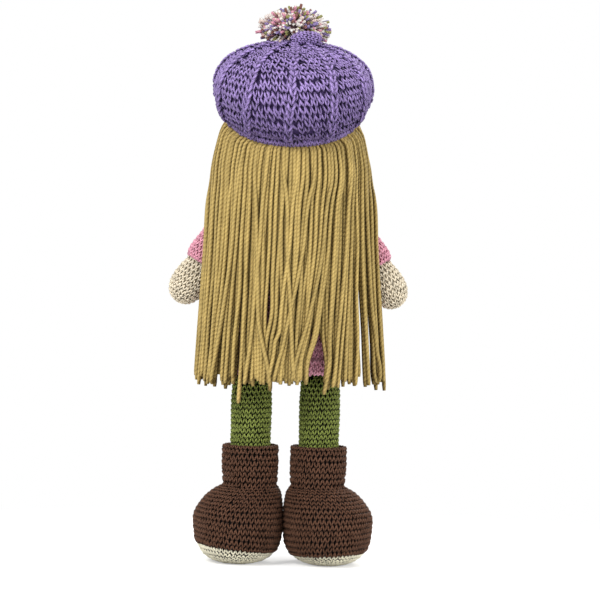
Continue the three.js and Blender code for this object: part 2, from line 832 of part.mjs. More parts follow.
function makeBeret() {
  const lean = degrees(beretLean);
  const beret = groupAt(doll, 0, beretSeat * Math.sin(lean), headCentre + beretSeat * Math.cos(lean));
  beret.rotation.x = -lean;
  const fromBack = (angle) => angle - Math.PI / 2;
  const panels = (angle) => panelDepth * (Math.abs(Math.cos((fromBack(angle) * beretPanels) / 2)) - 1);
  const sides = beretPanels * panelSides;
  const crown = cupShell(crownSections(), beretHeight, beretWall, sides, panels);
  add(beret, "beret_crown", straightened(crown), "lilac");
  add(beret, "beret_band", hoop(0, bandHeight, bandInnerRadius, bandInnerRadius, bandWall, sides), "lilac");

  const seat = beretHeight + tabRadius + seamGap;
  const bend = tabShares.map(
    ([x, y, z]) => new THREE.Vector3(x * tabLength, y * tabLength, seat + z * tabRadius),
  );
  const seatTool = straightened(filled(crownSections(seamGap), sides, [0, beretHeight + seamGap]));
  const loop = (radius) => straightened(rod(bend, radius, tabSteps));
  add(beret, "beret_tab", cut(loop(tabRadius), seatTool), "lilac");

  const bumps = (angle) => pompomBump * Math.cos(pompomBumps * angle);
  const pompomSections = pompomTilts.map((tilt) => {
    const [up, out] = [Math.sin(degrees(tilt)), Math.cos(degrees(tilt))];
    return [up * pompomHalfHeight, out * pompomHalfWidth, out * pompomHalfWidth];
  });
  const ball = bodyOfRings(ringsOf(pompomSections, bodySides, bumps), {
    tips: [new THREE.Vector3(0, 0, -pompomHalfHeight), new THREE.Vector3(0, 0, pompomHalfHeight)],
  }).translate(0, -pompomForward, beretHeight + pompomSeat);
  add(beret, "pompom", cut(straightened(ball), seatTool, loop(tabRadius + seamGap)), "multicolour");
}

// Arms

// A body of revolution round the line through both shoulders that takes in the torso's side, so that an arm
// that is cut by it clears the torso at every turn.
function shoulderRelief(sign) {
  const below = between(torsoSections, torsoBottom - seamGap, shoulderHeight);
  const profile = below.map(([z, halfWidth]) => [shoulderHeight - z, halfWidth + seamGap]);
  const outline = [[0, 0], [profile[0][0], 0], ...profile];
  const relief = new THREE.LatheGeometry(outline.map((point) => new THREE.Vector2(...point)), bodySides);
  return relief.rotateZ((-sign * Math.PI) / 2);
}

function makeArm(side) {
  const sign = SIDES[side];
  const arm = groupAt(doll, sign * shoulderReach, 0, shoulderHeight);
  arm.rotation.y = -sign * degrees(armSplay);
  const relief = seenFrom(arm, shoulderRelief(sign).translate(0, 0, shoulderHeight));

  const sleeve = [
    ...sleeveShares.map(([at, round]) => [-at * armRadius, round * armRadius]),
    [0, armRadius],
    [-sleeveLength / 2, armRadius],
    [-sleeveLength, armRadius - seamGap],
  ].map(([z, radius]) => [z, radius, radius]);
  const cuffFirst = sleeve.reverse();
  add(arm, `sleeve_${side}`, cut(cupShell(cuffFirst, armRadius, wall, limbSides), relief), "pink");

  const wrist = -sleeveLength - seamGap;
  const hand = [
    [wrist, wristRadius],
    ...handShares.map(([at, round]) => [wrist - at * handLength, round * handRadius]),
  ].map(([z, radius]) => [z, radius, radius]);
  add(arm, `hand_${side}`, cupShell(hand, wrist - handLength, wall, limbSides), "skin");

  const inner = wall + seamGap;
  const handFill = inset(hand, inner, wrist - handLength).reverse();
  const sleeveFill = inset(cuffFirst, inner, armRadius).slice(1);
  const fillTips = [wrist - handLength + inner, armRadius - inner];
  const fill = filled([...handFill, ...sleeveFill], limbSides, fillTips);
  add(arm, `arm_stuffing_${side}`, cut(fill, relief), "fibre");
}

// Legs

// The leg's flattened top is round about the hip's axis, so that it turns freely under the seat.
function legTop(radius) {
  return legTopShares.map((share) => {
    const narrow = mix(1, legTopWidthShare, share);
    return [hipHeight + radius * share, radius * narrow, radius * Math.sqrt(1 - share ** 2)];
  });
}

function footMiddle(sign, share) {
  return [mix(sign * footOutset, 0, share), mix(-footForward, 0, share)];
}

function footSections(shares, sign) {
  return shares.map(([height, width, length, moved]) => [
    ankleHeight * height,
    footHalfWidth * width,
    footHalfLength * length,
    ...footMiddle(sign, moved),
  ]);
}

function makeLeg(side) {
  const sign = SIDES[side];
  const leg = groupAt(doll, sign * legSpacing, 0, 0);
  const legBottom = hipHeight - leggingLength;
  const inner = wall + seamGap;
  const legSections = (radius) => [
    ...[legBottom, mix(legBottom, hipHeight, 0.5)].map((z) => [z, radius, radius]),
    ...legTop(radius),
  ];
  const [outside, inside, stuffed] = [0, wall, inner].map((by) => legSections(legRadius - by));
  const tipOf = (sections) => sections.at(-1)[0];
  const legging = cup(outside, tipOf(outside), inside, tipOf(inside), limbSides);
  add(leg, `legging_${side}`, legging, "green");
  add(leg, `leg_stuffing_${side}`, filled(stuffed, limbSides), "fibre");

  const join = [soleHeight, footHalfWidth * solePlanShares[0], footHalfLength * solePlanShares[1]];
  const soleTop = [...join, ...footMiddle(sign, 0)];
  const dish = [soleTop, ...footSections(soleShares, sign).reverse()];
  add(leg, `sole_${side}`, cupShell(dish, 0, wall, bodySides), "cream");

  const hollow = inset(dish, inner, 0).reverse();
  const insoleTop = inner + insoleThickness;
  add(leg, `insole_${side}`, filled(between(hollow, wall, insoleTop), limbSides), "board");

  const shaftTop = ankleHeight + shaftHeight;
  const [joinWidth, joinLength] = join.slice(1);
  const uppers = [
    [soleHeight + seamGap, joinWidth, joinLength, ...footMiddle(sign, 0)],
    ...footSections(uppersShares, sign),
    [ankleHeight, shaftRadius, shaftRadius],
    [mix(ankleHeight, shaftTop, 0.5), shaftRadius, shaftRadius],
    [shaftTop - rimHeight, shaftRadius, shaftRadius],
  ];
  add(leg, `boot_${side}`, openShell(uppers, wall, bodySides), "brown");
  const rimLow = shaftTop - rimHeight + seamGap;
  const rimInside = shaftRadius - wall;
  const rim = hoop(rimLow, shaftTop, rimInside, rimInside, wall + rimRoll, bodySides);
  add(leg, `boot_rim_${side}`, rim, "brown");

  const room = [...hollow, ...inset(uppers, inner).slice(1)];
  const bootFill = between(room, insoleTop + seamGap, legBottom - seamGap);
  add(leg, `boot_stuffing_${side}`, filled(bootFill, bodySides), "fibre");
}

makeTorso();
makeHead();
makeBeret();
for (const side of Object.keys(SIDES)) {
  makeArm(side);
  makeLeg(side);
}

// The floor point under the bounding box's middle becomes the origin.
doll.updateMatrixWorld(true);
const box = new THREE.Box3().setFromObject(doll, true);
doll.position.y = -(box.min.y + box.max.y) / 2;

export default doll;
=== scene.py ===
"""Looks of a crochet doll: every stitch, strand of hair and yarn end of its pompom as real yarn."""

import math
from collections import namedtuple

import bpy
import numpy as np
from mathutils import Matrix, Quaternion, Vector


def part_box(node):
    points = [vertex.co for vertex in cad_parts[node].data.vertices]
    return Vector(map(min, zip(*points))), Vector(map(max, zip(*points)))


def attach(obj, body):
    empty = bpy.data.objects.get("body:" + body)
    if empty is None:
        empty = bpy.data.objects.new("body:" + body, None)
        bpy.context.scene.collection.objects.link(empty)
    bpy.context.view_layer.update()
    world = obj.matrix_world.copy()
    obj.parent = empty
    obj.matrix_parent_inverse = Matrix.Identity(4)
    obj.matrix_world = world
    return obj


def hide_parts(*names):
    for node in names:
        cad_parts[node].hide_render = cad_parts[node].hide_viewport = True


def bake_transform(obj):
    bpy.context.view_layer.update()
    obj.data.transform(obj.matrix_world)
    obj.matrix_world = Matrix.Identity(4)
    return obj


bl_info = {
    "name": "Crochet Doll",
    "version": (1, 0, 0),
    "blender": (4, 5, 0),
    "location": "3D View > Sidebar > Doll",
    "description": "Dresses a crochet doll in yarn, stitch by stitch",
    "category": "Add Mesh",
}

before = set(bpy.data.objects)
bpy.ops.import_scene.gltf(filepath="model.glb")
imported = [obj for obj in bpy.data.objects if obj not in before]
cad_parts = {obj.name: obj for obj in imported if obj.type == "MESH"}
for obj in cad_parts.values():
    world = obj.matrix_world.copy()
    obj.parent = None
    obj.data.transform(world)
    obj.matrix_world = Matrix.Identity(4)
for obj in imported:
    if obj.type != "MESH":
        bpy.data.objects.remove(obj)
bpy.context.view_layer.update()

MM = 0.001
SIDES = {"left": 1, "right": -1}
SEED = 11
# The least way, area and length of a vector that count, and how finely ovals and lines are measured
LEAST_WAY = 1e-6
LEAST_AREA = 1e-12
LEAST_SIZE = 1e-9
OVAL_STEPS = 241
FINENESS = 6

# Places that the frame gives
TORSO_LOW, TORSO_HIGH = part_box("sweater_body")
MIDDLE_Y = (TORSO_LOW.y + TORSO_HIGH.y) / 2
NECK_LOW, NECK_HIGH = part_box("neck_tube")
HEAD_LOW, HEAD_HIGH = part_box("head_shell")
CAP_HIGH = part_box("wig_cap")[1]
SEAT_LOW, SEAT_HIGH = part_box("trouser_seat")

# Stitches

# How far each leans over and the next row starts further round, in stitches, and the fewest in a row
STITCH_LEAN = 0.15
LEAST_STITCHES = 6
STITCH_UNEVEN = 0.06
STITCH_SIDES = 5
STITCH_END_SHARE = 0.8
# How fast the painted light falls off into the fabric: deeper points are painted darker
SHADE_POWER = 1.5
# Half of a stitch's V: across and up in shares of the stitch, and out in shares of the yarn's radius
V_HALF_SHARES = [(0.17, 0.16, 0.75), (0.33, 0.55, 1.1), (0.43, 0.97, -0.2)]
V_BOTTOM_SHARES = (0, -0.12, 0.15)
# How long the yarn of a stitch is, in turns of its own thickness
STITCH_TURNS = 4.2
BERET_TURNS = 3.0
MOUTH_TURNS = 9.0
POMPOM_TURNS = 4.0
# The inside of the fabric: its depth under the stitches in yarn radii, its size on the piece's picture in
# stitches, and how often the yarn's pattern repeats on it
BACKING_SHARE = 0.75
BACKING_AREA = 60.0
BACKING_TURNS = 40
PICTURE_MARGIN_SHARE = 0.06

# Torso, in shares of its height, half width and half depth
TORSO_HEIGHT = TORSO_HIGH.z - TORSO_LOW.z
TORSO_HALF_WIDTH = 39 * MM
TORSO_HALF_DEPTH = 29.5 * MM
TORSO_SHARES = [
    (0, 0.955, 0.965), (0.09, 1, 1), (0.25, 1, 1), (0.45, 0.945, 0.945), (0.62, 0.845, 0.85),
    (0.76, 0.745, 0.745), (0.875, 0.665, 0.66), (0.945, 0.6, 0.62), (0.985, 0.5, 0.58),
]
COLLAR_RADIUS = 15.95 * MM
HEM_HEIGHT = 10 * MM
HEM_OUT = 2.55 * MM
HEM_FLARE = 1 * MM
HEM_ROLL = 2 * MM
NECK_RADIUS = 13 * MM

# Arms, with the outlines in shares of a length and a radius
SHOULDER_REACH = 35 * MM
SHOULDER_SHARE = 0.9
ARM_SPLAY = math.radians(31)
ARM_RADIUS = 10.5 * MM
SLEEVE_LENGTH = 40 * MM
SLEEVE_ROLL = 2.4 * MM
HAND_LENGTH = 27.5 * MM
HAND_RADIUS = 11 * MM
WRIST_RADIUS = 9.4 * MM
SEAM_GAP = 0.35 * MM
SLEEVE_SHARES = [(-0.35, 0.93), (-0.7, 0.71), (-0.95, 0.31)]
HAND_SHARES = [(0.88, 0.72), (0.65, 1), (0.3, 1)]

# Head and face
HEAD_HALF_WIDTH = 35 * MM
HEAD_HALF_DEPTH = 34 * MM
HEAD_HALF_HEIGHT = 35 * MM
HEAD_CENTRE = HEAD_HIGH.z - HEAD_HALF_HEIGHT
HEAD_TOP = math.radians(89.5)
EYE_RADIUS = 4.2 * MM
EYE_DEPTH = 3.2 * MM
EYE_SPREAD = math.radians(22)
EYE_DROP = math.radians(4)
NOSE_RADIUS = 3.2 * MM
NOSE_DROP = math.radians(13)
NOSE_ROW = 1.5 * MM
NOSE_STITCH = 1.6 * MM
NOSE_YARN_RADIUS = 0.42 * MM
NOSE_SINK = 0.4 * MM
MOUTH_DROP = math.radians(27)
MOUTH_HALF_ANGLE = math.radians(11)
MOUTH_SAG = math.radians(4)
MOUTH_RADIUS = 0.7 * MM
MOUTH_STEPS = 25
MOUTH_SIDES = 10
# How far a dome on the head goes on below its widest ring, as an angle
DOME_UNDER = -0.5

# Wig cap
CAP_LEAN = math.radians(38)
CAP_REACH = math.radians(82)
CAP_TOP = math.radians(89)
CAP_SINK = 0.5 * MM
CAP_ROW = 4 * MM
CAP_STITCH = 3.8 * MM
# How far the head's stitches go on under the cap, as a cosine
CAP_LAP_SHARE = 0.12

# Hair
HAIR_LENGTH = 188 * MM
HAIR_HALF_WIDTH = 60 * MM
HAIR_HALF_DEPTH = 26.5 * MM
HAIR_FULLNESS = 5 * MM
HAIR_DEPTH = 3 * MM
CURTAIN_DEPTH = 6.2 * MM
CURTAIN_SETBACK = 13.5 * MM
HAIR_UNDER = 3.45 * MM
HAIR_OVER = HAIR_UNDER + HAIR_DEPTH
BACK_HALF_ANGLE = 42
SHOULDER_GAP = 0.5 * MM
# The angles of the hair's rows from the beret's axis, and how far round the back they go there
OVER_ANGLES = [14, 26.5, 39, 51.5]
OVER_REACH = 130
# The rows from the band to the nape, in shares: of the head's half height down from the band, the
# widening, the head's depth, the thickening, the band's setback and its dip; and how far round they go
NAPE_SHARES = [
    (0.14, 0.11, 1, 0.6, 0.4, 0.78), (0.48, 0.4, 1.09, 0.8, 0.2, 0.5), (0.8, 0.48, 1.14, 1, 0, 0.25),
]
NAPE_REACHES = [124, 116, 110]
# The row at the jaw: its height as a share of the head's half height, its widening, flattening and setback
JAW_SHARES = (0.7, 0.53, 0.28, 0.35)
JAW_REACH = 101
# The rows below the shoulders, in shares of the way down, of the widening and of the fullness
FALL_SHARES = [(0, 0.58, 1), (0.3, 0.68, 0.8), (0.65, 0.86, 0.4), (1, 1, 0)]
FALL_REACH = 90

# Strands of hair
STRAND_STEPS = 64
STRAND_SIDES = 10
STRAND_TIP_SHARE = 0.75
# How fast the painted shade grows from a strand's outer side round to its sides and inner side
STRAND_SHADE_POWER = 2.6
HAIR_BUMP = 0.3 * MM
# How fast strands come forward to the hair's front edge, and how much more the hair faces back than aside
FORWARD_POWER = 1.5
BACKWARD_SHARE = 1.6
# The layers from the outside in: how far out they are, their first row, how many strands more than the
# outer one they have, and how much painted light they get, so that inner layers are painted darker
HAIR_LAYERS = [(0.84, 0, 0, 1.0), (0.56, 1, 5, 0.8), (0.22, 4, 12, 0.55)]
# How uneven the strands are: angle and depth in a layer, angle and depth from row to row, and thickness
TURN_SPREAD = 0.4
LAYER_SPREAD_SHARE = 0.1
WANDER_SPREAD = 1.8
RISE_SPREAD_SHARE = 0.07
THICKNESS_SPREAD_SHARE = 0.06
TINT_SPREAD_SHARE = 0.25
DEPTH_LIMIT_SHARES = (0.12, 0.88)
# A strand's waves: how many, where they start and how wide they are in millimetres
WAVE_COUNTS = (1.2, 3.4)
WAVE_STARTS = (0, 6.3)
WAVE_WIDTHS = (0.1, 0.6)
WAVE_START_SHARE = 0.15
# How many millimetres longer the strands are than their rows: the mean, its spread, and a few's extra
LENGTH_MEAN, LENGTH_SPREAD, LENGTH_EXTRA = 1.0, 1.7, 5
LENGTH_COMMON_SHARE = 0.94
# How far the hair hangs to the doll's right at its lower end
HAIR_SWAY = -2.5 * MM
# How far the hair leans round at its lower end, in degrees, at some angles from straight back
HAIR_LEANS = [
    (-90, 0), (-70, 0), (-58, 5), (-50, 12), (-38, 18), (-26, 18), (-14, 14), (-4, 9), (5, 5), (14, 1),
    (25, 0), (33, 3), (42, 6), (52, 8), (64, 7), (76, 3), (90, 0),
]
# The locks: how wide in degrees, how uneven, how much the strands lean to their middle, and by chance
LOCK_WIDTH = 9.0
LOCK_WIDTH_SHARES = (0.55, 1.5)
LOCK_PULL = 0.15
LOCK_SPREAD = 1.2
LEAN_SPREAD = 1.6
LOCKS_REACH = 95
STRANDS_REACH = 89
HAIR_OVAL_STEPS = 200
# Places where the strands hang apart: across and up, how far they are pushed aside, and half the height
HAIR_GAPS = [
    (12 * MM, 156 * MM, 2 * MM, 17 * MM),
    (5.6 * MM, 143 * MM, 1.2 * MM, 8 * MM),
    (-18.8 * MM, 128 * MM, 3.2 * MM, 14 * MM),
    (-56.5 * MM, 126 * MM, 0.9 * MM, 9 * MM),
]
# How far the push goes and how suddenly it turns over, in times of the push
GAP_REACH, GAP_EDGE = 3, 0.4
# The gap at the lower edge through which the sweater shows: its place across, half its width and its height
LOW_GAP = (-18.8 * MM, 3.5 * MM, 22 * MM)
# Strands that hang lower than the others: the angle from straight back and how much
LONG_STRANDS = [(31, 10 * MM), (68, 4 * MM)]
# Strands that cross over the others: the angle from straight back and the lean; how far out and how lifted
CROSSING_STRANDS = [
    (-60, -5), (-47, 22), (-31, 27), (-19, 28), (-6, 19), (6, -7), (17, 9), (27, -14), (37, 14),
]
CROSSING_SHARE = 0.86
CROSSING_LIFT_SHARE = 0.4

# Beret
BERET_LEAN = math.radians(25)
CROWN_UPRIGHT = math.radians(20)
BERET_SEAT = 16.5 * MM
BAND_ANGLE = math.acos((BERET_SEAT - SEAM_GAP) / (HEAD_HALF_WIDTH + HAIR_OVER))
BAND_INNER = math.sqrt((HEAD_HALF_WIDTH + HAIR_OVER) ** 2 - BERET_SEAT**2) + SEAM_GAP
BAND_THICKNESS = 2.4 * MM
BAND_RADIUS = BAND_INNER + BAND_THICKNESS
BAND_HEIGHT = 4 * MM
BAND_ROW = 2.7 * MM
BAND_STITCH = 2.6 * MM
# How much painted light the band gets: it is painted darker than the crown, as painted shade
BAND_LIGHT_SHARE = 0.72
# The band from its inner edge round to its top: heights and radii
BAND_LIP = [
    (0.6 * MM, BAND_INNER + 0.4 * MM), (0, BAND_RADIUS - 0.9 * MM), (1.2 * MM, BAND_RADIUS),
    (BAND_HEIGHT, BAND_RADIUS),
]
BERET_OVERHANG = 8.4 * MM
BERET_RADIUS = BAND_RADIUS + BERET_OVERHANG
BERET_HEIGHT = 50.5 * MM
CROWN_BOTTOM = BAND_HEIGHT + SEAM_GAP
SWELL_SHARES = [(0, 0), (0.05, 0.45), (0.15, 0.82), (0.3, 1)]
DOME_SHARES = [(0.5, 0.985), (0.69, 0.89), (0.85, 0.69), (0.96, 0.38)]
BERET_LAP = 3 * MM
LAP_OUT = 0.5 * MM
SPOKES = 11
SPOKE_RIDGE = 0.8 * MM
SPOKE_WIDTH = 2.2 * MM
# The hollow on both sides of a spoke: its depth in ridges, and its place and width in spoke widths
DITCH_SHARE, DITCH_PLACE, DITCH_WIDTH = 0.4, 1.8, 0.6
# The spokes' drift round the crown, in shares of a turn, at shares of the way from the band to the top
SPOKE_DRIFT_SHARES = [(0, -0.008), (0.25, -0.004), (0.5, 0.002), (0.75, 0.008), (1, 0)]
BACK_SHARE = 0.25
BERET_GROOVE = 1.1 * MM
GROOVE_WIDTH_SHARE = 0.11
CROWN_FADE_SHARE = 0.1
BERET_SLANT = -0.4
BERET_STITCH_LEAN = 0.2
BERET_LEAST_STITCHES = 8
BERET_SINK_SHARE = 1.4
BERET_UNEVEN = 0.12
BERET_ROW_SHIFT = 0.05
BERET_BACKING_SINK = 1.7 * MM
# Stitches left out of the crown: how far past a spoke, how near to that place, and their share
HOLE_PLACE, HOLE_REACH, HOLE_SHARE = 1.0, 0.3, 0.25
# Where the painted shade on the crown's gathers starts to fade and how soon, in shares of the way up, and
# the least painted light there
GATHER_START_SHARE, GATHER_SPAN_SHARE = 0.1, 0.25
GATHER_LIGHT_SHARE = 0.5
CHAIN_WIDTH = 4.6 * MM
CHAIN_HEIGHT = 3.6 * MM
CHAIN_RADIUS = 0.78 * MM
CHAIN_UNEVEN = 0.08
CHAIN_START_SHARE, CHAIN_END_SHARE, CHAIN_FILL_SHARE = 0.3, 0.94, 0.9
TAB_RADIUS = 3.4 * MM
TAB_LENGTH = 15 * MM
TAB_STITCH = 2.4 * MM
TAB_YARN_RADIUS = 0.6 * MM
TAB_STEPS = 40
TAB_SIDES = 48
TAB_END_POWER = 8
TAB_END_SHARE = 0.02
TAB_SHARES = [
    (0.1, 0.68, -0.9), (-0.15, 0.78, -0.3), (-0.5, 0.82, 0), (-0.85, 0.78, -0.15), (-1.1, 0.68, -0.5),
]

# Pompom
POMPOM_HALF_WIDTH = 21.5 * MM
POMPOM_HALF_HEIGHT = 15 * MM
POMPOM_FORWARD = 10 * MM
POMPOM_SEAT = 8.3 * MM
POMPOM_COLOURS = (0xFFFBF4, 0xE9A2B6, 0x9885BB, 0xF6ECE4, 0x9C9C58, 0x86564A, 0xE9D3C6)
# The painted shade colour of the pompom's hollows and core, as a share of each yarn's colour
POMPOM_SHADE = (0.22, 0.13, 0.17)
POMPOM_CORE_SHARE = 0.7
# How far the ends stay inside the pompom's outline, all round and more at the top
POMPOM_INSET = 0.6 * MM
POMPOM_TOP_INSET = 1.4 * MM
POMPOM_YARN_RADIUS = 0.78 * MM
POMPOM_SIDES = 6
# A yarn end from the core out: where its rings are, how thick it is there and how much painted light
# they get, darker towards the core as painted shade
END_SHARES = np.linspace(0.55, 1, 5)
END_THICKNESS_SHARES = np.array([0.6, 0.8, 1, 1.1, 1])
END_LIGHT_SHARES = np.array([0, 0.1, 0.4, 0.8, 1])
# How uneven the ends are: direction, reach with its limits, bend in millimetres, and thickness
END_TURN_SPREAD = 0.09
END_REACH, END_REACH_SPREAD, END_REACH_LIMITS = 0.95, 0.06, (0.84, 1.07)
END_BEND_SPREAD, END_BEND_LIMIT = 1.7, 2.5
END_THICKNESS_SPREAD = 0.12
# Ends that would be inside the crown are left out: how far above its top, and how it falls off to its rim
CROWN_CLEAR = 0.8 * MM
CROWN_FALL = 14 * MM

# Legs
LEG_SPACING = 21.5 * MM
LEG_RADIUS = 12.5 * MM
HIP_HEIGHT = 108.25 * MM
LEG_BOTTOM = 46.05 * MM
LEG_TOP_SHARES = [0, 0.5, 0.8, 0.96]
LEG_TOP_WIDTH_SHARE = 0.93
SEAT_TUCK = 0.6 * MM
SEAT_SINK = 2 * MM
SEAT_MIDDLE_SHARE, SEAT_EDGE_SHARE = 0.04, 0.9

# Boots
FOOT_HALF_WIDTH = 27.7 * MM
FOOT_HALF_LENGTH = 36.8 * MM
ANKLE_HEIGHT = 49 * MM
FOOT_OUTSET = 6.7 * MM
FOOT_FORWARD = 6 * MM
# In shares of the ankle's height, the foot's half width and half length, and the way from its middle to the
# shaft's
FOOT_SHARES = [
    (0.04, 0.63, 0.72, 0), (0.12, 0.82, 0.875, 0), (0.245, 0.94, 0.96, 0), (0.41, 0.99, 1, 0),
    (0.6, 1, 0.965, 0), (0.78, 0.905, 0.83, 0.3), (0.92, 0.76, 0.64, 0.7),
]
TREAD_SHARES = (0.42, 0.55)
TREAD_HEIGHT = 0.15 * MM
SHAFT_RADIUS = 17.2 * MM
SHAFT_HEIGHT = 26 * MM
SHAFT_TOP = ANKLE_HEIGHT + SHAFT_HEIGHT
BOOT_SINK = 0.2 * MM
# The groove after every second row of the shaft, and the crease where it meets the foot
SHAFT_GROOVE = 0.55 * MM
SHAFT_GROOVE_SHARE = 0.1
SHAFT_GROOVE_START = 0.5 * MM
CREASE_DEPTH = 1 * MM
CREASE_RISE = 1 * MM
CREASE_WIDTH = 1.1 * MM
# Where the cream of the sole ends above the floor, and how much higher that is on the outer side
SOLE_EDGES = {"left": (12 * MM, 4 * MM), "right": (9 * MM, 2.5 * MM)}
SOLE_SINK = 1.1 * MM
TILT_FADE = 30 * MM
# The rim from its lower edge over its top into the shaft: the way down from the top and the way in
RIM_HEIGHT = 5.5 * MM
RIM_OUT = 0.4 * MM
RIM_RADIUS = SHAFT_RADIUS + RIM_OUT
RIM_ROLL = 1.2 * MM
RIM_OUTLINE = [
    (RIM_HEIGHT, 0), (RIM_ROLL, 0), (0, RIM_ROLL), (RIM_ROLL, 2.6 * MM), (RIM_HEIGHT, 2.8 * MM),
]

# Stage, with the photograph's frame at the doll
PHOTO_WIDTH = 376.2 * MM
PHOTO_CENTRE = (-7.5 * MM, 166.8 * MM)
CAMERA_DISTANCE = 2.4
CAMERA_ELEVATION = math.radians(2)
CAMERA_ROLL = math.radians(1.4)
CAMERA_END = 50
SENSOR_WIDTH = 36
FLOOR_HALF_WIDTH = 12.0
FLOOR_SHADOW_REACH = 0.2
PAPER_GREY = (0.8, 0.8, 0.8)
PAPER_GLOW = 0.45
# The background's strength where it lights the doll and where it is seen
SKY_STRENGTHS = (0.65, 1.0)
# The lamps: their places, sizes and powers
LAMPS = {
    "key": ((0.9, 1.3, 1.4), 0.9, 24),
    "fill": ((-1.4, 1.0, 0.6), 1.0, 9),
    "front": ((-0.7, -1.5, 1.1), 0.9, 20),
}


def linear(colour):
    """A colour written as 0xrrggbb, as the linear red, green and blue that Blender computes with."""
    channels = [(colour >> shift & 255) / 255 for shift in (16, 8, 0)]
    return tuple(c / 12.92 if c < 0.04045 else ((c + 0.055) / 1.055) ** 2.4 for c in channels)


# Smooth surfaces of two parameters


def way_along(steps):
    """How far each point of a line is from its first one, from the steps between them."""
    return np.concatenate([[0], np.cumsum(steps)])


def smooth_line(points, steps, flat_ends=(False, False)):
    """A smooth line through some points, in even steps. Between two points each value is a cubic of the way
    along the chord, and its slope at a point is the mean of the slopes on both sides, each weighted by the
    other side's length. At a flat end the first value, the height, has no slope, so that a tip is round."""
    points = np.asarray(points, float)
    chords = np.diff(points, axis=0)
    lengths = np.linalg.norm(chords, axis=1)
    slopes = chords / lengths[:, None]
    before, after = lengths[:-1, None], lengths[1:, None]
    middle = (slopes[:-1] * after + slopes[1:] * before) / (before + after)
    slopes = np.vstack([slopes[:1], middle, slopes[-1:]])
    for end, flat in zip((0, -1), flat_ends):
        if flat:
            slopes[end, 0] = 0
            slopes[end] /= np.linalg.norm(slopes[end])
    at = way_along(lengths)
    fine = np.linspace(0, at[-1], FINENESS * steps)
    cell = np.clip(np.searchsorted(at, fine, side="right") - 1, 0, len(lengths) - 1)
    step = lengths[cell][:, None]
    x = (fine - at[cell])[:, None] / step
    curve = (
        (2 * x**3 - 3 * x**2 + 1) * points[cell]
        + (x**3 - 2 * x**2 + x) * step * slopes[cell]
        + (3 * x**2 - 2 * x**3) * points[cell + 1]
        + (x**3 - x**2) * step * slopes[cell + 1]
    )
    along = way_along(np.linalg.norm(np.diff(curve, axis=0), axis=1))
    even = np.linspace(0, along[-1], steps)
    return np.stack([np.interp(even, along, column) for column in curve.T], axis=1)


def evenly_round(width, depth, angle, shares):
    """Angles on an oval at some shares of the way along it, from the speed at closely spaced angles."""
    speed = np.hypot(width * np.sin(angle), depth * np.cos(angle))
    along = way_along((speed[1:] + speed[:-1]) / 2)
    return np.interp(shares * along[-1], along, angle)


def oval_grid(sections, steps, columns, flat_ends=(False, False)):
    """A tube of level ovals. A section is height, half width, half depth, and its middle. A point is the
    middle plus half width times an angle's cosine and half depth times its sine, at angles that space the
    points evenly."""
    angle = np.linspace(0, 2 * np.pi, OVAL_STEPS)
    share = np.arange(columns) / columns
    grid = np.zeros((steps, columns, 3))
    for row, (z, width, depth, x, y) in enumerate(smooth_line(sections, steps, flat_ends)):
        width, depth = max(width, LEAST_WAY), max(depth, LEAST_WAY)
        turn = evenly_round(width, depth, angle, share)
        across, back = x + width * np.cos(turn), y + depth * np.sin(turn)
        grid[row] = np.stack([across, back, np.full(columns, z)], axis=1)
    return grid


def round_grid(outline, steps, columns, flat_ends=(False, False), middle=(0, 0)):
    """A tube of level circles, from heights and radii."""
    return oval_grid([(z, radius, radius, *middle) for z, radius in outline], steps, columns, flat_ends)


def turned(points, axis, angle):
    """Points turned about an axis through the middle, by Rodrigues' formula."""
    axis = np.asarray(axis, float) / np.linalg.norm(axis)
    across = np.cross(axis, points)
    along = (points @ axis)[..., None] * axis
    return points * math.cos(angle) + across * math.sin(angle) + along * (1 - math.cos(angle))


class Cloth:
    """A piece of crochet as a grid of points, with columns that go once round and rows from edge to edge. A
    place on it is a fractional row and column. along is how far each row is from the first."""

    def __init__(self, points):
        self.points = points
        self.rows, self.columns = points.shape[:2]
        across = (np.roll(points, -1, axis=1) - np.roll(points, 1, axis=1)) / 2
        normal = np.cross(across, np.gradient(points, axis=0))
        size = np.linalg.norm(normal, axis=2, keepdims=True)
        weak = size < LEAST_AREA
        normal = np.where(weak, 0, normal / np.where(weak, 1, size))
        for end, inside in ((0, 1), (-1, -2)):
            if weak[end].any():
                normal[end] = normal[inside].mean(axis=0)
        self.normals = normal / np.maximum(np.linalg.norm(normal, axis=2, keepdims=True), LEAST_SIZE)
        steps = np.linalg.norm(np.diff(points, axis=0), axis=2).mean(axis=1)
        self.along = way_along(steps)
        self.length = steps.sum()
        self.girth = np.linalg.norm(points - np.roll(points, 1, axis=1), axis=2).sum(axis=1)

    def at(self, row, column, out=0.0):
        """The point at a place, some way out of the surface: the mean of the four grid points round it,
        weighted by nearness, plus the same mean of the normals times the way out."""
        base = np.clip(np.floor(row).astype(int), 0, self.rows - 2)
        down = (row - base)[..., None]
        left = np.floor(column).astype(int)
        across = (column - left)[..., None]
        left, right = left % self.columns, (left + 1) % self.columns

        def mean(grid):
            upper = grid[base, left] * (1 - across) + grid[base, right] * across
            lower = grid[base + 1, left] * (1 - across) + grid[base + 1, right] * across
            return upper * (1 - down) + lower * down

        return mean(self.points) + mean(self.normals) * np.asarray(out)[..., None]

    def raised(self, relief):
        """The same cloth with each point moved out along its normal by the relief there."""
        return Cloth(self.points + self.normals * relief[..., None])

    def slanted(self, shift):
        """The same cloth with its rows moved up by some way, which may differ from point to point."""
        steps = np.linalg.norm(np.gradient(self.points, axis=0), axis=2)
        row, column = np.mgrid[0 : self.rows, 0 : self.columns].astype(float)
        return Cloth(self.at(np.clip(row + shift / np.maximum(steps, LEAST_WAY), 0, self.rows - 1), column))


def bell(way, width):
    """A bell curve: 1 where the way is nothing, and close to 0 at twice the width."""
    return np.exp(-((way / width) ** 2))


# Small shapes that are repeated


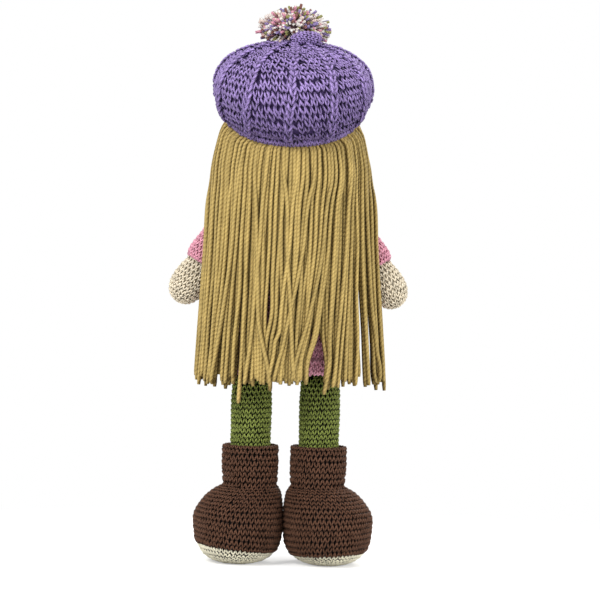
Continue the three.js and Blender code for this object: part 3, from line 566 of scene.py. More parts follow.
def tube_faces(rings, sides, lids=True):
    """The faces of a tube: quads between its rings and, if wanted, a lid at each end. Returns the corners
    of all faces in one line, each face's number of corners, and each corner's place round and along the
    tube, from 0 to 1."""
    ring, side = np.mgrid[0 : rings - 1, 0:sides]
    after = (side + 1) % sides
    low, high = ring * sides, (ring + 1) * sides
    corners = np.stack([low + side, low + after, high + after, high + side], axis=2).reshape(-1)
    u = np.stack([side, side + 1, side + 1, side], axis=2).reshape(-1) / sides
    v = np.stack([ring, ring, ring + 1, ring + 1], axis=2).reshape(-1) / (rings - 1)
    sizes = np.full((rings - 1) * sides, 4)
    if lids:
        turn = np.arange(sides)
        corners = np.concatenate([corners, turn[::-1], (rings - 1) * sides + turn])
        sizes = np.concatenate([sizes, [sides, sides]])
        u = np.concatenate([u, turn[::-1] / sides, turn / sides])
        v = np.concatenate([v, np.zeros(sides), np.ones(sides)])
    return corners, sizes, np.stack([u, v], axis=1)


def yarn_tubes(lines, radii, sides, out):
    """Round yarns along one or many lines. A point is the line's point plus the radius times the cosine of
    an angle to the side and its sine towards out, made square to the line."""
    tangent = np.gradient(lines, axis=-2)
    tangent /= np.linalg.norm(tangent, axis=-1, keepdims=True)
    side = np.cross(tangent, np.broadcast_to(out, lines.shape))
    side /= np.maximum(np.linalg.norm(side, axis=-1, keepdims=True), LEAST_SIZE)
    up = np.cross(side, tangent)
    angle = 2 * np.pi * np.arange(sides) / sides
    cosine, sine = np.cos(angle)[:, None], np.sin(angle)[:, None]
    rings = cosine * side[..., None, :] + sine * up[..., None, :]
    return lines[..., None, :] + np.asarray(radii)[..., None, None] * rings


class Stitch:
    """The yarn of one single crochet stitch as it shows: a tube down one leg, round the bottom and up the
    other. lean is how far its top leans over, in stitch widths. points are in stitch widths, row heights
    and metres, and depth is how far out of the fabric each lies, from 0 to 1, raised to a power. depth
    sets the painted shade: the deeper a point lies, the darker it is painted."""

    def __init__(self, radius, width, height, lean=0.0):
        right = [(x + lean * y, y, z) for x, y, z in V_HALF_SHARES]
        left = [(-x + lean * y, y, z) for x, y, z in V_HALF_SHARES]
        line = np.array([*reversed(left), V_BOTTOM_SHARES, *right], float) * [width, height, radius]
        radii = np.full(len(line), radius)
        radii[[0, -1]] *= STITCH_END_SHARE
        points = yarn_tubes(line, radii, STITCH_SIDES, (0, 0, 1)).reshape(-1, 3)
        self.points = points / [width, height, 1]
        self.faces = tube_faces(len(line), STITCH_SIDES)
        out = self.points[:, 2]
        # depth paints shade: points deep in the fabric get the yarn's painted shade colour
        self.depth = ((out - out.min()) / (out.max() - out.min())) ** SHADE_POWER


def row_plan(cloth, row_height, stitch_width, lean, spiral, least):
    """Where the stitches of a piece go. A row gets as many as its girth holds and starts a little further
    round than the one below it, and in a spiral it climbs by its own height on its way round. Returns for
    each stitch its row and column on the grid, its height and width there, and the number of its row."""
    count = max(1, round(cloth.length / row_height))
    tall = (cloth.rows - 1) / count
    middle = (np.arange(count) + 0.5) * tall
    girth = np.interp(middle, np.arange(cloth.rows), cloth.girth)
    stitches = np.maximum(least, np.round(girth / stitch_width).astype(int))
    number = np.repeat(np.arange(count), stitches)
    first = np.repeat(np.cumsum(stitches) - stitches, stitches)
    place = np.arange(len(number)) - first
    share = (place + lean * number) / stitches[number]
    row = (number + spiral * ((place + 0.5) / stitches[number] - 0.5)) * tall
    return row, share * cloth.columns, np.full(len(number), tall), cloth.columns / stitches[number], number


def put_stitches(cloth, stitch, plan, sink, rng, uneven):
    """Copies of a stitch on a piece of cloth. A copy's point is the cloth at the stitch's place plus the
    point's share of its height and width, and its way out of the cloth less how deep it is sunk."""
    row, column, tall, wide = (values[:, None] for values in plan[:4])
    x, y, out = stitch.points.T
    jitter = rng.normal(0, uneven, (len(row), 3))
    rows = row + tall * (y + jitter[:, :1])
    columns = column + wide * (x * (1 + jitter[:, 1:2]) + jitter[:, 2:])
    return cloth.at(rows, columns, out * (1 + jitter[:, :1]) - sink)


# From arrays to Blender objects


# Some faces of a piece: points, the faces' corners and sizes, the corners' places on the yarn and on a tile
# of the piece's picture, the tiles' numbers, the points' tints and painted light, and the picture area
# wanted
Part = namedtuple("Part", "points corners sizes yarn tile tiles tint depth area")


def repeated(points, faces, rng, length, depth=None, tint=None, phase=0.3, light=1.0):
    """A part of many copies of one shape. points is copies by points by three. length is the yarn's length
    in a copy, in its diameters. light is how much painted light each copy gets: it scales depth, so that
    a lower light paints the copy darker as painted shade."""
    copies, count = points.shape[:2]
    corners, sizes, place = faces
    offset = np.arange(copies)[:, None] * count
    tint = rng.random(copies) if tint is None else tint
    depth = np.ones(count) if depth is None else depth
    along = place[None, :, 1] * length + phase * rng.random(copies)[:, None]
    yarn = np.stack([np.broadcast_to(place[:, 0], along.shape), along], axis=2)
    return Part(
        points.reshape(-1, 3),
        (corners[None] + offset).reshape(-1),
        np.tile(sizes, copies),
        yarn.reshape(-1, 2),
        np.tile(place, (copies, 1)),
        np.repeat(np.arange(copies), len(corners)),
        np.repeat(tint, count),
        (np.broadcast_to(light, copies)[:, None] * depth[None]).ravel(),
        copies,
    )


def backing(cloth, sink, depth=0.0, step=2, lids=False):
    """The inside of the fabric between the stitches: the cloth's own grid, pushed in. Its depth, 0 unless
    given, paints it with the yarn's painted shade colour: a dark sheet that stands for the shade in the
    holes.
    """
    picked = np.append(np.arange(0, cloth.rows - 1, step), cloth.rows - 1)
    points = (cloth.points[picked] - cloth.normals[picked] * sink).reshape(-1, 3)
    corners, sizes, place = tube_faces(len(picked), cloth.columns, lids)
    tint, depth = np.full(len(points), 0.5), np.full(len(points), depth)
    tiles = np.zeros(len(corners), int)
    return Part(points, corners, sizes, place * BACKING_TURNS, place, tiles, tint, depth, BACKING_AREA)


def bake_places(parts):
    """The corners' places on the piece's picture. A part has a band, as high as its share of the area, and
    each copy has a tile in it."""
    total = sum(part.area for part in parts)
    low = 0.0
    places = []
    for part in parts:
        high = low + part.area / total
        tiles = part.tiles.max() + 1
        across = max(1, math.ceil(math.sqrt(tiles / (high - low))))
        down = math.ceil(tiles / across)
        inside = PICTURE_MARGIN_SHARE + (1 - 2 * PICTURE_MARGIN_SHARE) * part.tile
        column, row = part.tiles % across, part.tiles // across
        u = (column + inside[:, 0]) / across
        v = low + (high - low) * (row + inside[:, 1]) / down
        places.append(np.stack([u, v], axis=1))
        low = high
    return np.concatenate(places)


def make_piece(name, parts, material):
    """One mesh object from parts, with its yarn and bake maps, its tint, and its depth for painted shade."""
    starts = np.cumsum([0, *(len(part.points) for part in parts)])
    corners = np.concatenate([part.corners + start for part, start in zip(parts, starts)])
    points, sizes, yarn, tint, depth = (
        np.concatenate([getattr(part, field) for part in parts])
        for field in ("points", "sizes", "yarn", "tint", "depth")
    )
    mesh = bpy.data.meshes.new(name)
    mesh.vertices.add(len(points))
    mesh.vertices.foreach_set("co", points.astype(np.float32).ravel())
    mesh.loops.add(len(corners))
    mesh.loops.foreach_set("vertex_index", corners.astype(np.int32))
    mesh.polygons.add(len(sizes))
    mesh.polygons.foreach_set("loop_start", (np.cumsum(sizes) - sizes).astype(np.int32))
    mesh.polygons.foreach_set("use_smooth", np.full(len(sizes), True))
    mesh.update(calc_edges=True)
    for label, places in (("OFBake", bake_places(parts)), ("yarn", yarn)):
        mesh.uv_layers.new(name=label).data.foreach_set("uv", places.astype(np.float32).ravel())
    for label, values in (("tint", tint), ("depth", depth)):
        mesh.attributes.new(label, "FLOAT", "POINT").data.foreach_set("value", values.astype(np.float32))
    mesh.materials.append(material)
    mesh.validate()
    piece = bpy.data.objects.new(name, mesh)
    bpy.context.scene.collection.objects.link(piece)
    return piece


# Materials

FLOAT, COLOUR = "NodeSocketFloat", "NodeSocketColor"
# Grain per metre, and how high the bumps of the materials are
FIBRE_SCALE, PATCH_SCALE, SCUFF_SCALE, RIPPLE_SCALE = 2600.0, 130.0, 900.0, 120.0
YARN_BUMP = 0.25 * MM
EYE_BUMP = 0.02 * MM
GRAIN_BUMP = 0.1 * MM
SCUFF_COLOUR = (0.012, 0.011, 0.014)
SCUFF_ROUGHNESS, EYE_ROUGHNESS = 0.12, 0.04
# The power of a yarn's colour that its painted shade is, and how dark the dark grain of the hidden parts is
SHADE_TONE_POWER = 1.7
GRAIN_SHADE_SHARE = 0.6
# Where a Mix node has its factor and its two colours, after the sockets for plain numbers and vectors
MIX_INPUTS, MIX_OUTPUT = (0, 6, 7), 2


def plug(tree, value, socket):
    """Links a socket to another, or sets its value."""
    if isinstance(value, bpy.types.NodeSocket):
        tree.links.new(value, socket)
    elif isinstance(value, tuple) and len(value) == 3 and socket.type == "RGBA":
        socket.default_value = (*value, 1)
    else:
        socket.default_value = value


def add_node(tree, kind, **inputs):
    """A shader node with some inputs linked or set. A low line stands for a space in an input's name."""
    node = tree.nodes.new("ShaderNode" + kind)
    for name, value in inputs.items():
        plug(tree, value, node.inputs[name.replace("_", " ")])
    return node


def calculate(tree, operation, *values):
    """The result of a Math node."""
    node = add_node(tree, "Math")
    node.operation = operation
    for socket, value in zip(node.inputs, values):
        plug(tree, value, socket)
    return node.outputs[0]


def blend_colours(tree, factor, first, second, kind="MIX"):
    """The result of a Mix node for colours."""
    node = add_node(tree, "Mix")
    node.data_type = "RGBA"
    node.blend_type = kind
    for number, value in zip(MIX_INPUTS, (factor, first, second)):
        plug(tree, value, node.inputs[number])
    return node.outputs[MIX_OUTPUT]


def mix_shaders(tree, factor, first, second):
    """The result of a Mix Shader node."""
    node = add_node(tree, "MixShader", Fac=factor)
    tree.links.new(first.outputs[0], node.inputs[1])
    tree.links.new(second.outputs[0], node.inputs[2])
    return node


def object_place(tree):
    """Places in the object's own frame."""
    return add_node(tree, "TexCoord").outputs["Object"]


def attribute(tree, name):
    """A number that each point of the mesh has."""
    node = add_node(tree, "Attribute")
    node.attribute_name = name
    return node.outputs["Fac"]


def noise(tree, place, scale, detail=3.0):
    """Soft noise from 0 to 1."""
    return add_node(tree, "TexNoise", Vector=place, Scale=scale, Detail=detail).outputs["Fac"]


def spun_yarn_group():
    """The look of spun yarn. The place round the yarn times the number of plies, plus the place along it
    times the twist, gives saw teeth, and a parabola on each tooth is a ply's rounded back. Fibres are fine
    noise. The hollows between the plies, and the points that the depth attribute puts deep in the fabric,
    get painted shade: their colour is mixed towards the Shade colour."""
    name = "Spun yarn"
    if name in bpy.data.node_groups:
        return bpy.data.node_groups[name]
    group = bpy.data.node_groups.new(name, "ShaderNodeTree")
    for label, kind in (("Colour", COLOUR), ("Shade", COLOUR), ("Plies", FLOAT), ("Twist", FLOAT),
                        ("Groove", FLOAT), ("Uneven", FLOAT), ("Hollow", FLOAT)):
        group.interface.new_socket(name=label, in_out="INPUT", socket_type=kind)
    for label, kind in (("Colour", COLOUR), ("Height", FLOAT)):
        group.interface.new_socket(name=label, in_out="OUTPUT", socket_type=kind)
    given = group.nodes.new("NodeGroupInput").outputs
    outside = group.nodes.new("NodeGroupOutput").inputs

    def maths(operation, *values):
        return calculate(group, operation, *values)

    uv = add_node(group, "UVMap")
    uv.uv_map = "yarn"
    place = add_node(group, "SeparateXYZ", Vector=uv.outputs["UV"]).outputs
    twisted = maths("MULTIPLY", place["Y"], given["Twist"])
    turns = maths("ADD", maths("MULTIPLY", place["X"], given["Plies"]), twisted)
    centred = maths("MULTIPLY_ADD", maths("FRACT", turns), 2.0, -1.0)
    ply = maths("SUBTRACT", 1.0, maths("MULTIPLY", centred, centred))
    fibres = noise(group, object_place(group), FIBRE_SCALE)
    patches = noise(group, object_place(group), PATCH_SCALE, 2.0)
    uneven = maths("SUBTRACT", attribute(group, "tint"), 0.5)
    uneven = maths("MULTIPLY_ADD", maths("SUBTRACT", patches, 0.5), 1.5, uneven)
    uneven = maths("ADD", uneven, maths("SUBTRACT", fibres, 0.5))
    # Painted shade: the grooves between plies and, by Hollow, the points deep in the fabric go towards Shade
    groove = maths("MULTIPLY", maths("SUBTRACT", 1.0, ply), given["Groove"])
    sunk = maths("MULTIPLY", maths("SUBTRACT", 1.0, attribute(group, "depth")), given["Hollow"])
    shade = maths("MINIMUM", maths("ADD", groove, sunk), 1.0)
    brightness = maths("MULTIPLY_ADD", uneven, given["Uneven"], 1.0)
    grey = add_node(group, "CombineColor", Red=brightness, Green=brightness, Blue=brightness).outputs[0]
    lit = blend_colours(group, shade, given["Colour"], given["Shade"])
    plug(group, blend_colours(group, 1.0, lit, grey, "MULTIPLY"), outside["Colour"])
    plug(group, maths("MULTIPLY_ADD", ply, 0.75, maths("MULTIPLY", fibres, 0.25)), outside["Height"])
    return group


def spun_yarn(tree, **inputs):
    """The outputs of the spun yarn's group with some inputs."""
    node = add_node(tree, "Group")
    node.node_tree = spun_yarn_group()
    for name, value in inputs.items():
        plug(tree, value, node.inputs[name])
    return node.outputs


def empty_material(name):
    """A new material and its empty node tree."""
    material = bpy.data.materials.new(name)
    material.use_nodes = True
    material.node_tree.nodes.clear()
    return material, material.node_tree


def principled(tree, height, distance, **inputs):
    """A Principled shader with its bump, linked to the material's output."""
    bump = add_node(tree, "Bump", Height=height, Distance=distance)
    shader = add_node(tree, "BsdfPrincipled", Normal=bump.outputs["Normal"], **inputs)
    add_node(tree, "OutputMaterial", Surface=shader.outputs["BSDF"])


def yarn_material(name, colour, shade_share=0.3, plies=3.0, twist=1.2, groove=0.4, uneven=0.25, hollow=0.8,
                  sheen=0.15, bump=YARN_BUMP):
    """Yarn of one colour, with painted shade in its hollows. In the hollows light has met the yarn more than
    once, so the painted shade there is a power of the colour."""
    if name in bpy.data.materials:
        return bpy.data.materials[name]
    material, tree = empty_material(name)
    colour = tuple(colour)[:3]
    shade = tuple(channel**SHADE_TONE_POWER * shade_share for channel in colour)
    yarn = spun_yarn(tree, Colour=colour, Shade=shade, Plies=plies, Twist=twist, Groove=groove,
                     Uneven=uneven, Hollow=hollow)
    principled(tree, yarn["Height"], bump, Base_Color=yarn["Colour"], Roughness=0.6, Sheen_Weight=sheen,
               Sheen_Roughness=0.5, Specular_IOR_Level=0.1)
    return material


def pink_yarn():
    """The sweater's yarn."""
    return yarn_material("Pink yarn", colours().pink, shade_share=0.35, hollow=0.5, groove=0.25)


def skin_yarn():
    """The yarn of the head and the hands."""
    return yarn_material("Skin yarn", colours().skin, shade_share=0.3, hollow=0.6, groove=0.25)


# Sizes and colours that a user would change


def length_setting(name, description, value):
    """A length that the panel shows."""
    return bpy.props.FloatProperty(
        name=name, description=description, default=value, min=0, subtype="DISTANCE", unit="LENGTH",
        precision=5,
    )


def number_setting(name, description, value, least):
    """A whole number that the panel shows."""
    return bpy.props.IntProperty(name=name, description=description, default=value, min=least)


def colour_setting(name, description, value):
    """A colour that the panel shows."""
    return bpy.props.FloatVectorProperty(
        name=name, description=description, default=linear(value), min=0, max=1, subtype="COLOR"
    )


class DollSizes(bpy.types.PropertyGroup):
    """Sizes of the yarns and stitches."""

    stitch_width: length_setting("Stitch width", "Width of a single crochet stitch", 2.95 * MM)
    row_height: length_setting("Row height", "Height of a row of single crochet", 3.1 * MM)
    yarn_radius: length_setting("Yarn radius", "Radius of the crochet yarn", 0.58 * MM)
    stitch_sink: length_setting("Stitch depth", "How deep stitches lie in the fabric's surface", 0.85 * MM)
    beret_row: length_setting("Beret row", "Height of a row of the beret", 3.1 * MM)
    beret_stitch: length_setting("Beret stitch", "Width of a stitch of the beret", 3.8 * MM)
    beret_radius: length_setting("Beret yarn radius", "Radius of the beret's yarn", 0.64 * MM)
    hair_radius: length_setting("Hair yarn radius", "Radius of a strand of hair", 1.36 * MM)
    hair_strands: number_setting("Hair strands", "Strands side by side in the outer layer of hair", 43, 8)
    pompom_ends: number_setting("Pompom ends", "Yarn ends that show on the pompom", 1300, 20)


class DollColours(bpy.types.PropertyGroup):
    """Colours of the yarns and eyes."""

    pink: colour_setting("Pink", "Colour of the sweater", 0xFFB8CC)
    green: colour_setting("Green", "Colour of the leggings", 0x9CAA55)
    skin: colour_setting("Skin", "Colour of the head and hands", 0xFFF2D8)
    blond: colour_setting("Blond", "Colour of the hair", 0xC8AD6A)
    lilac: colour_setting("Lilac", "Colour of the beret", 0xBCA2E4)
    brown: colour_setting("Brown", "Colour of the boots", 0x75523F)
    cream: colour_setting("Cream", "Colour of the soles", 0xFFF9E0)
    eye: colour_setting("Eyes", "Colour of the safety eyes", 0x0B0A0C)
    blush: colour_setting("Lips", "Colour of the mouth's yarn", 0xC0607A)


def sizes():
    """The sizes that the panel shows."""
    return bpy.context.scene.crochet_doll_sizes


def colours():
    """The colours that the panel shows."""
    return bpy.context.scene.crochet_doll_colours


# Crochet


def dress(piece, body, slot, *nodes, fill=None):
    """Lets a piece ride on its body and stand for its solids, which it hides. slot is not used."""
    if body is not None:
        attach(piece, body)
    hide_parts(*nodes)


def crochet(name, grid, material, body, slot, *nodes, seed, fill=None, keep=None, row_height=None,
            stitch_width=None, spiral=1.0, sink=None, back=True, radius=None, light=1.0):
    """Makes and dresses a piece of single crochet on a cloth or a grid of points: its stitches, and the
    inside of the fabric behind them, painted in shade. keep picks stitches by their rows' numbers and their
    middles. light is how much painted light the piece gets; less paints it darker, as painted shade."""
    cloth = grid if isinstance(grid, Cloth) else Cloth(grid)
    rng = np.random.default_rng(SEED + seed)
    row_height = row_height or sizes().row_height
    stitch_width = stitch_width or sizes().stitch_width
    radius = radius or sizes().yarn_radius
    sink = sizes().stitch_sink if sink is None else sink
    stitch = Stitch(radius, stitch_width, row_height, STITCH_LEAN)
    plan = row_plan(cloth, row_height, stitch_width, STITCH_LEAN, spiral, LEAST_STITCHES)
    if keep is not None:
        kept = keep(plan[4], cloth.at(plan[0] + plan[2] / 2, plan[1]))
        plan = tuple(values[kept] for values in plan)
    points = put_stitches(cloth, stitch, plan, sink, rng, STITCH_UNEVEN)
    parts = [repeated(points, stitch.faces, rng, STITCH_TURNS, depth=stitch.depth, light=light)]
    if back:
        parts.append(backing(cloth, sink + BACKING_SHARE * radius))
    dress(make_piece(name, parts, material), body, slot, *nodes, fill=fill)


class CROCHETDOLL_OT_sweater(bpy.types.Operator):
    """Makes the sweater's body and its turned hem."""

    bl_idname = "crochet_doll.sweater"
    bl_label = "Sweater"

    def execute(self, context):
        def section(z, width, depth, out=0.0):
            return z, TORSO_HALF_WIDTH * width + out, TORSO_HALF_DEPTH * depth + out, 0, MIDDLE_Y

        rows = [section(TORSO_LOW.z + TORSO_HEIGHT * height, *shares) for height, *shares in TORSO_SHARES]
        rows.append((TORSO_HIGH.z, COLLAR_RADIUS, COLLAR_RADIUS, 0, MIDDLE_Y))
        grid = oval_grid(rows, steps=160, columns=128)
        crochet("sweater_body_knit", grid, pink_yarn(), "torso", "pink_yarn", "sweater_body",
                "torso_stuffing", seed=1, fill=0.9)
        low, high = TORSO_LOW.z, TORSO_LOW.z + HEM_HEIGHT
        hem = [
            section(z, *TORSO_SHARES[0][1:], out)
            for z, out in (
                (low + HEM_ROLL, -HEM_OUT / 2),
                (low + SEAM_GAP, 0),
                (low + HEM_ROLL / 2, HEM_FLARE + HEM_OUT),
                ((low + high) / 2, HEM_FLARE + HEM_OUT),
                (high - SEAM_GAP, HEM_OUT + HEM_FLARE / 2),
            )
        ]
        grid = oval_grid(hem, steps=40, columns=128)
        crochet("sweater_hem_knit", grid, pink_yarn(), "torso", "pink_yarn", "sweater_hem", seed=2, spiral=0)
        return {"FINISHED"}


# Head


def on_head(direction, grown=0.0):
    """The point of the head's surface, grown by some way, in a direction."""
    half = np.array([HEAD_HALF_WIDTH, HEAD_HALF_DEPTH, HEAD_HALF_HEIGHT]) + grown
    return half * direction + np.array([0, MIDDLE_Y, HEAD_CENTRE])


def towards(turn, up):
    """A direction by its angle round from the doll's left and its angle above level."""
    turn, up = np.broadcast_arrays(turn, up)
    return np.stack([np.cos(up) * np.cos(turn), np.cos(up) * np.sin(turn), np.sin(up)], axis=-1)


def sphere_grid(low, high, steps, columns):
    """The directions from the middle of a ball to its points between two angles above level."""
    return towards(2 * np.pi * np.arange(columns) / columns, np.linspace(low, high, steps)[:, None])


def facing(turn, drop):
    """A direction by its angle from straight ahead, towards the doll's left, and its drop below level."""
    return np.array([np.sin(turn) * np.cos(drop), -np.cos(turn) * np.cos(drop), 0 * turn - np.sin(drop)]).T


def dome_grid(radius, depth, turn, drop, steps, columns):
    """A low round dome on a spot of the head. A point is the spot plus the radius times a rising angle's
    cosine outwards and the depth times its sine along the normal."""
    normal = facing(np.array(turn), drop)
    centre = on_head(normal, SEAM_GAP)
    normal = normal / np.linalg.norm(normal)
    side = np.cross(normal, [0, 0, 1.0])
    side /= np.linalg.norm(side)
    up = np.cross(side, normal)
    rise = np.linspace(DOME_UNDER, np.pi / 2, steps)[:, None, None]
    round_ = 2 * np.pi * np.arange(columns)[None, :, None] / columns
    ring = np.cos(round_) * up - np.sin(round_) * side
    return centre + radius * np.cos(rise) * ring + depth * np.sin(rise) * normal


def eye_material():
    """Polished black plastic, with the faint ripple of a moulded part and fine scuffs in its polish."""
    material, tree = empty_material("Black eye plastic")
    scuffs = noise(tree, object_place(tree), SCUFF_SCALE, 6.0)
    colour = blend_colours(tree, scuffs, tuple(colours().eye), SCUFF_COLOUR)
    polish = calculate(tree, "MULTIPLY_ADD", scuffs, SCUFF_ROUGHNESS, EYE_ROUGHNESS)
    ripple = noise(tree, object_place(tree), RIPPLE_SCALE)
    principled(tree, ripple, EYE_BUMP, Base_Color=colour, Roughness=polish, Coat_Weight=0.15,
               Coat_Roughness=0.03, Specular_IOR_Level=0.25)
    return material


class CROCHETDOLL_OT_head(bpy.types.Operator):
    """Makes the head, the neck and the face: eyes, nose and mouth."""

    bl_idname = "crochet_doll.head"
    bl_label = "Head and face"

    def execute(self, context):
        axis = np.array([0, math.sin(CAP_LEAN), math.cos(CAP_LEAN)])

        def shows(row, points):
            direction = (points - [0, MIDDLE_Y, HEAD_CENTRE]) / HEAD_HALF_WIDTH
            return direction @ axis < math.cos(CAP_REACH) + CAP_LAP_SHARE

        low = math.asin((HEAD_LOW.z - HEAD_CENTRE) / HEAD_HALF_HEIGHT)
        grid = on_head(sphere_grid(low, HEAD_TOP, steps=150, columns=128))
        crochet("head_knit", grid, skin_yarn(), "head", "cream_yarn", "head_shell", "head_stuffing", seed=3,
                fill=0.95, keep=shows)
        outline = [(NECK_LOW.z, NECK_RADIUS), (NECK_HIGH.z, NECK_RADIUS)]
        grid = round_grid(outline, steps=24, columns=64, middle=(0, MIDDLE_Y))
        crochet("neck_knit", grid, skin_yarn(), "torso", "cream_yarn", "neck_tube", seed=4)
        plastic = eye_material()
        for side, sign in SIDES.items():
            grid = dome_grid(EYE_RADIUS, EYE_DEPTH, EYE_SPREAD * sign, EYE_DROP, steps=14, columns=40)
            part = backing(Cloth(grid), 0, depth=1.0, step=1, lids=True)
            dress(make_piece(f"eye_dome_{side}", [part], plastic), "head", "black_plastic", f"eye_{side}")
        grid = dome_grid(NOSE_RADIUS, NOSE_RADIUS, 0.0, NOSE_DROP, steps=12, columns=32)
        plain = yarn_material("Nose yarn", colours().skin, shade_share=0.5, hollow=0.3, groove=0.15)
        crochet("nose_knit", grid, plain, "head", "cream_yarn", "nose", seed=5, row_height=NOSE_ROW,
                stitch_width=NOSE_STITCH, radius=NOSE_YARN_RADIUS, sink=NOSE_SINK)
        across = np.linspace(-1, 1, MOUTH_STEPS)
        smile = on_head(facing(MOUTH_HALF_ANGLE * across, MOUTH_DROP - MOUTH_SAG * across**2), MOUTH_RADIUS)
        radii = np.full(MOUTH_STEPS, MOUTH_RADIUS)
        lips = yarn_tubes(smile, radii, MOUTH_SIDES, smile - [0, MIDDLE_Y, HEAD_CENTRE])
        faces = tube_faces(MOUTH_STEPS, MOUTH_SIDES)
        part = repeated(lips.reshape(1, -1, 3), faces, np.random.default_rng(SEED), MOUTH_TURNS)
        mouth = make_piece("mouth_yarn", [part], yarn_material("Lip yarn", colours().blush))
        dress(mouth, "head", "pink_yarn", "mouth_stitch")
        return {"FINISHED"}


# Hair

# Some strands of hair: their angles from straight back, how far out they are, their first row, how much
# longer they are than their rows, how far round and out they lean at their ends, their tints and painted
# light
Layer = namedtuple("Layer", "turn depth first ends lean lift tint light")


def hair_rows():
    """The hair's outer and inner face in rows from the crown down. A face has a height, half width, half
    depth, setback and dip, and a row ends with the angle from straight back to its front edge. Over the
    head the rows are circles round the beret's axis."""

    def round_head(grown, away):
        up, out = math.cos(away), math.sin(away)
        return (
            HEAD_CENTRE + (HEAD_HALF_HEIGHT + grown) * up * math.cos(BERET_LEAN),
            (HEAD_HALF_WIDTH + grown) * out,
            (HEAD_HALF_DEPTH + grown) * out * math.cos(BERET_LEAN),
            (HEAD_HALF_DEPTH + grown) * up * math.sin(BERET_LEAN),
            (HEAD_HALF_HEIGHT + grown) * out * math.sin(BERET_LEAN),
        )

    def hanging(z, widening, half_depth, thickness, back, dip, reach):
        half_width = width + (HAIR_HALF_WIDTH - width) * widening
        outer = (z, half_width, half_depth, back, dip)
        return [*outer, z, half_width - thickness, half_depth - thickness, back, dip, reach]

    width, depth = HEAD_HALF_WIDTH + HAIR_OVER, HEAD_HALF_DEPTH + HAIR_OVER
    rows = [
        [*round_head(HAIR_OVER, away), *round_head(HAIR_UNDER, away), OVER_REACH]
        for away in [*np.radians(OVER_ANGLES), BAND_ANGLE]
    ]
    at_band, _, _, back, dip = round_head(HAIR_OVER, BAND_ANGLE)
    for (down, widening, deepening, thickening, setting, dipping), reach in zip(NAPE_SHARES, NAPE_REACHES):
        thickness = HAIR_DEPTH + (CURTAIN_DEPTH - HAIR_DEPTH) * thickening
        rows.append(hanging(at_band - HEAD_HALF_HEIGHT * down, widening, depth * deepening, thickness,
                            back * setting, dip * dipping, reach))
    jaw, widening, flattening, setback = JAW_SHARES
    nape = depth * NAPE_SHARES[-1][2]
    half_depth = nape + (HAIR_HALF_DEPTH - nape) * flattening
    rows.append(hanging(HEAD_CENTRE - HEAD_HALF_HEIGHT * jaw, widening, half_depth, CURTAIN_DEPTH,
                        CURTAIN_SETBACK * setback, 0, JAW_REACH))
    bottom = HEAD_CENTRE + HEAD_HALF_HEIGHT + HAIR_OVER - HAIR_LENGTH
    shoulder = TORSO_LOW.z + TORSO_HEIGHT * SHOULDER_SHARE + ARM_RADIUS + SHOULDER_GAP
    for down, widening, filling in FALL_SHARES:
        half_depth = HAIR_HALF_DEPTH + HAIR_FULLNESS * filling
        rows.append(hanging(shoulder + (bottom - shoulder) * down, widening, half_depth, CURTAIN_DEPTH,
                            CURTAIN_SETBACK, 0, FALL_REACH))
    return np.array(rows)


def strand_lines(layer, rng):
    """The middle lines of a layer's strands, and the ways out of the hair along them. A strand's point on
    a row is the row's oval at the strand's angle, between the hair's two faces by the strand's depth. Its
    lean grows downwards, its angle and depth wander from row to row, and between the rows it is smooth and
    waves a little. Near a gap it is pushed aside, by a bell curve of its way from the gap."""
    rows = hair_rows()[layer.first :]
    outer, inner = rows[:, 0:5], rows[:, 5:10]
    shape = (len(layer.turn), len(rows))
    down = np.clip((rows[0, 0] - rows[:, 0]) / (rows[0, 0] - rows[-1, 0]), 0, 1)
    wander = rng.normal(0, WANDER_SPREAD, shape) * down * layer.light
    rise = rng.normal(0, RISE_SPREAD_SHARE, shape)
    lines = []
    for i, turn in enumerate(layer.turn):
        forward = (rows[:, 10] / 90 - 1) * (abs(turn) / 90) ** FORWARD_POWER
        angle = np.radians(turn + layer.lean[i] * down**2 + wander[i]) * (1 + forward)
        share = np.clip(layer.depth[i] + rise[i], *DEPTH_LIMIT_SHARES) + layer.lift[i] * down
        z, width, deep, back, dip = (inner + (outer - inner) * share[:, None]).T
        x = width * np.sin(angle) + HAIR_SWAY * down**2
        y = MIDDLE_Y + back + deep * np.cos(angle)
        z = z - dip * np.cos(angle)
        z[-1] -= layer.ends[i]
        line = np.stack([z, x, y], axis=1)
        for _ in range(2):
            line[1:-1, 1:] = (line[:-2, 1:] + 2 * line[1:-1, 1:] + line[2:, 1:]) / 4
        lines.append(smooth_line(line, STRAND_STEPS))
    lines = np.stack(lines)[..., [1, 2, 0]]
    along = np.linspace(0, 1, STRAND_STEPS)
    single = (len(lines), 1)
    waves = rng.uniform(*WAVE_COUNTS, single) * 2 * np.pi * along + rng.uniform(*WAVE_STARTS, single)
    wave = np.sin(waves) * (WAVE_START_SHARE + along) * rng.uniform(*WAVE_WIDTHS, single) * MM
    outward = (lines - np.array([0, MIDDLE_Y, 0])) * [1, BACKWARD_SHARE, 0]
    outward /= np.linalg.norm(outward, axis=2, keepdims=True)
    sideways = np.stack([-outward[..., 1], outward[..., 0], np.zeros_like(wave)], axis=2)
    lines = lines + sideways * wave[..., None]
    for x, z, push, high in HAIR_GAPS:
        across = lines[..., 0] - x
        near = bell(across, GAP_REACH * push) * bell(lines[..., 2] - z, high) * (lines[..., 1] > MIDDLE_Y)
        lines[..., 0] += push * np.tanh(across / (GAP_EDGE * push)) * near
    return lines, outward


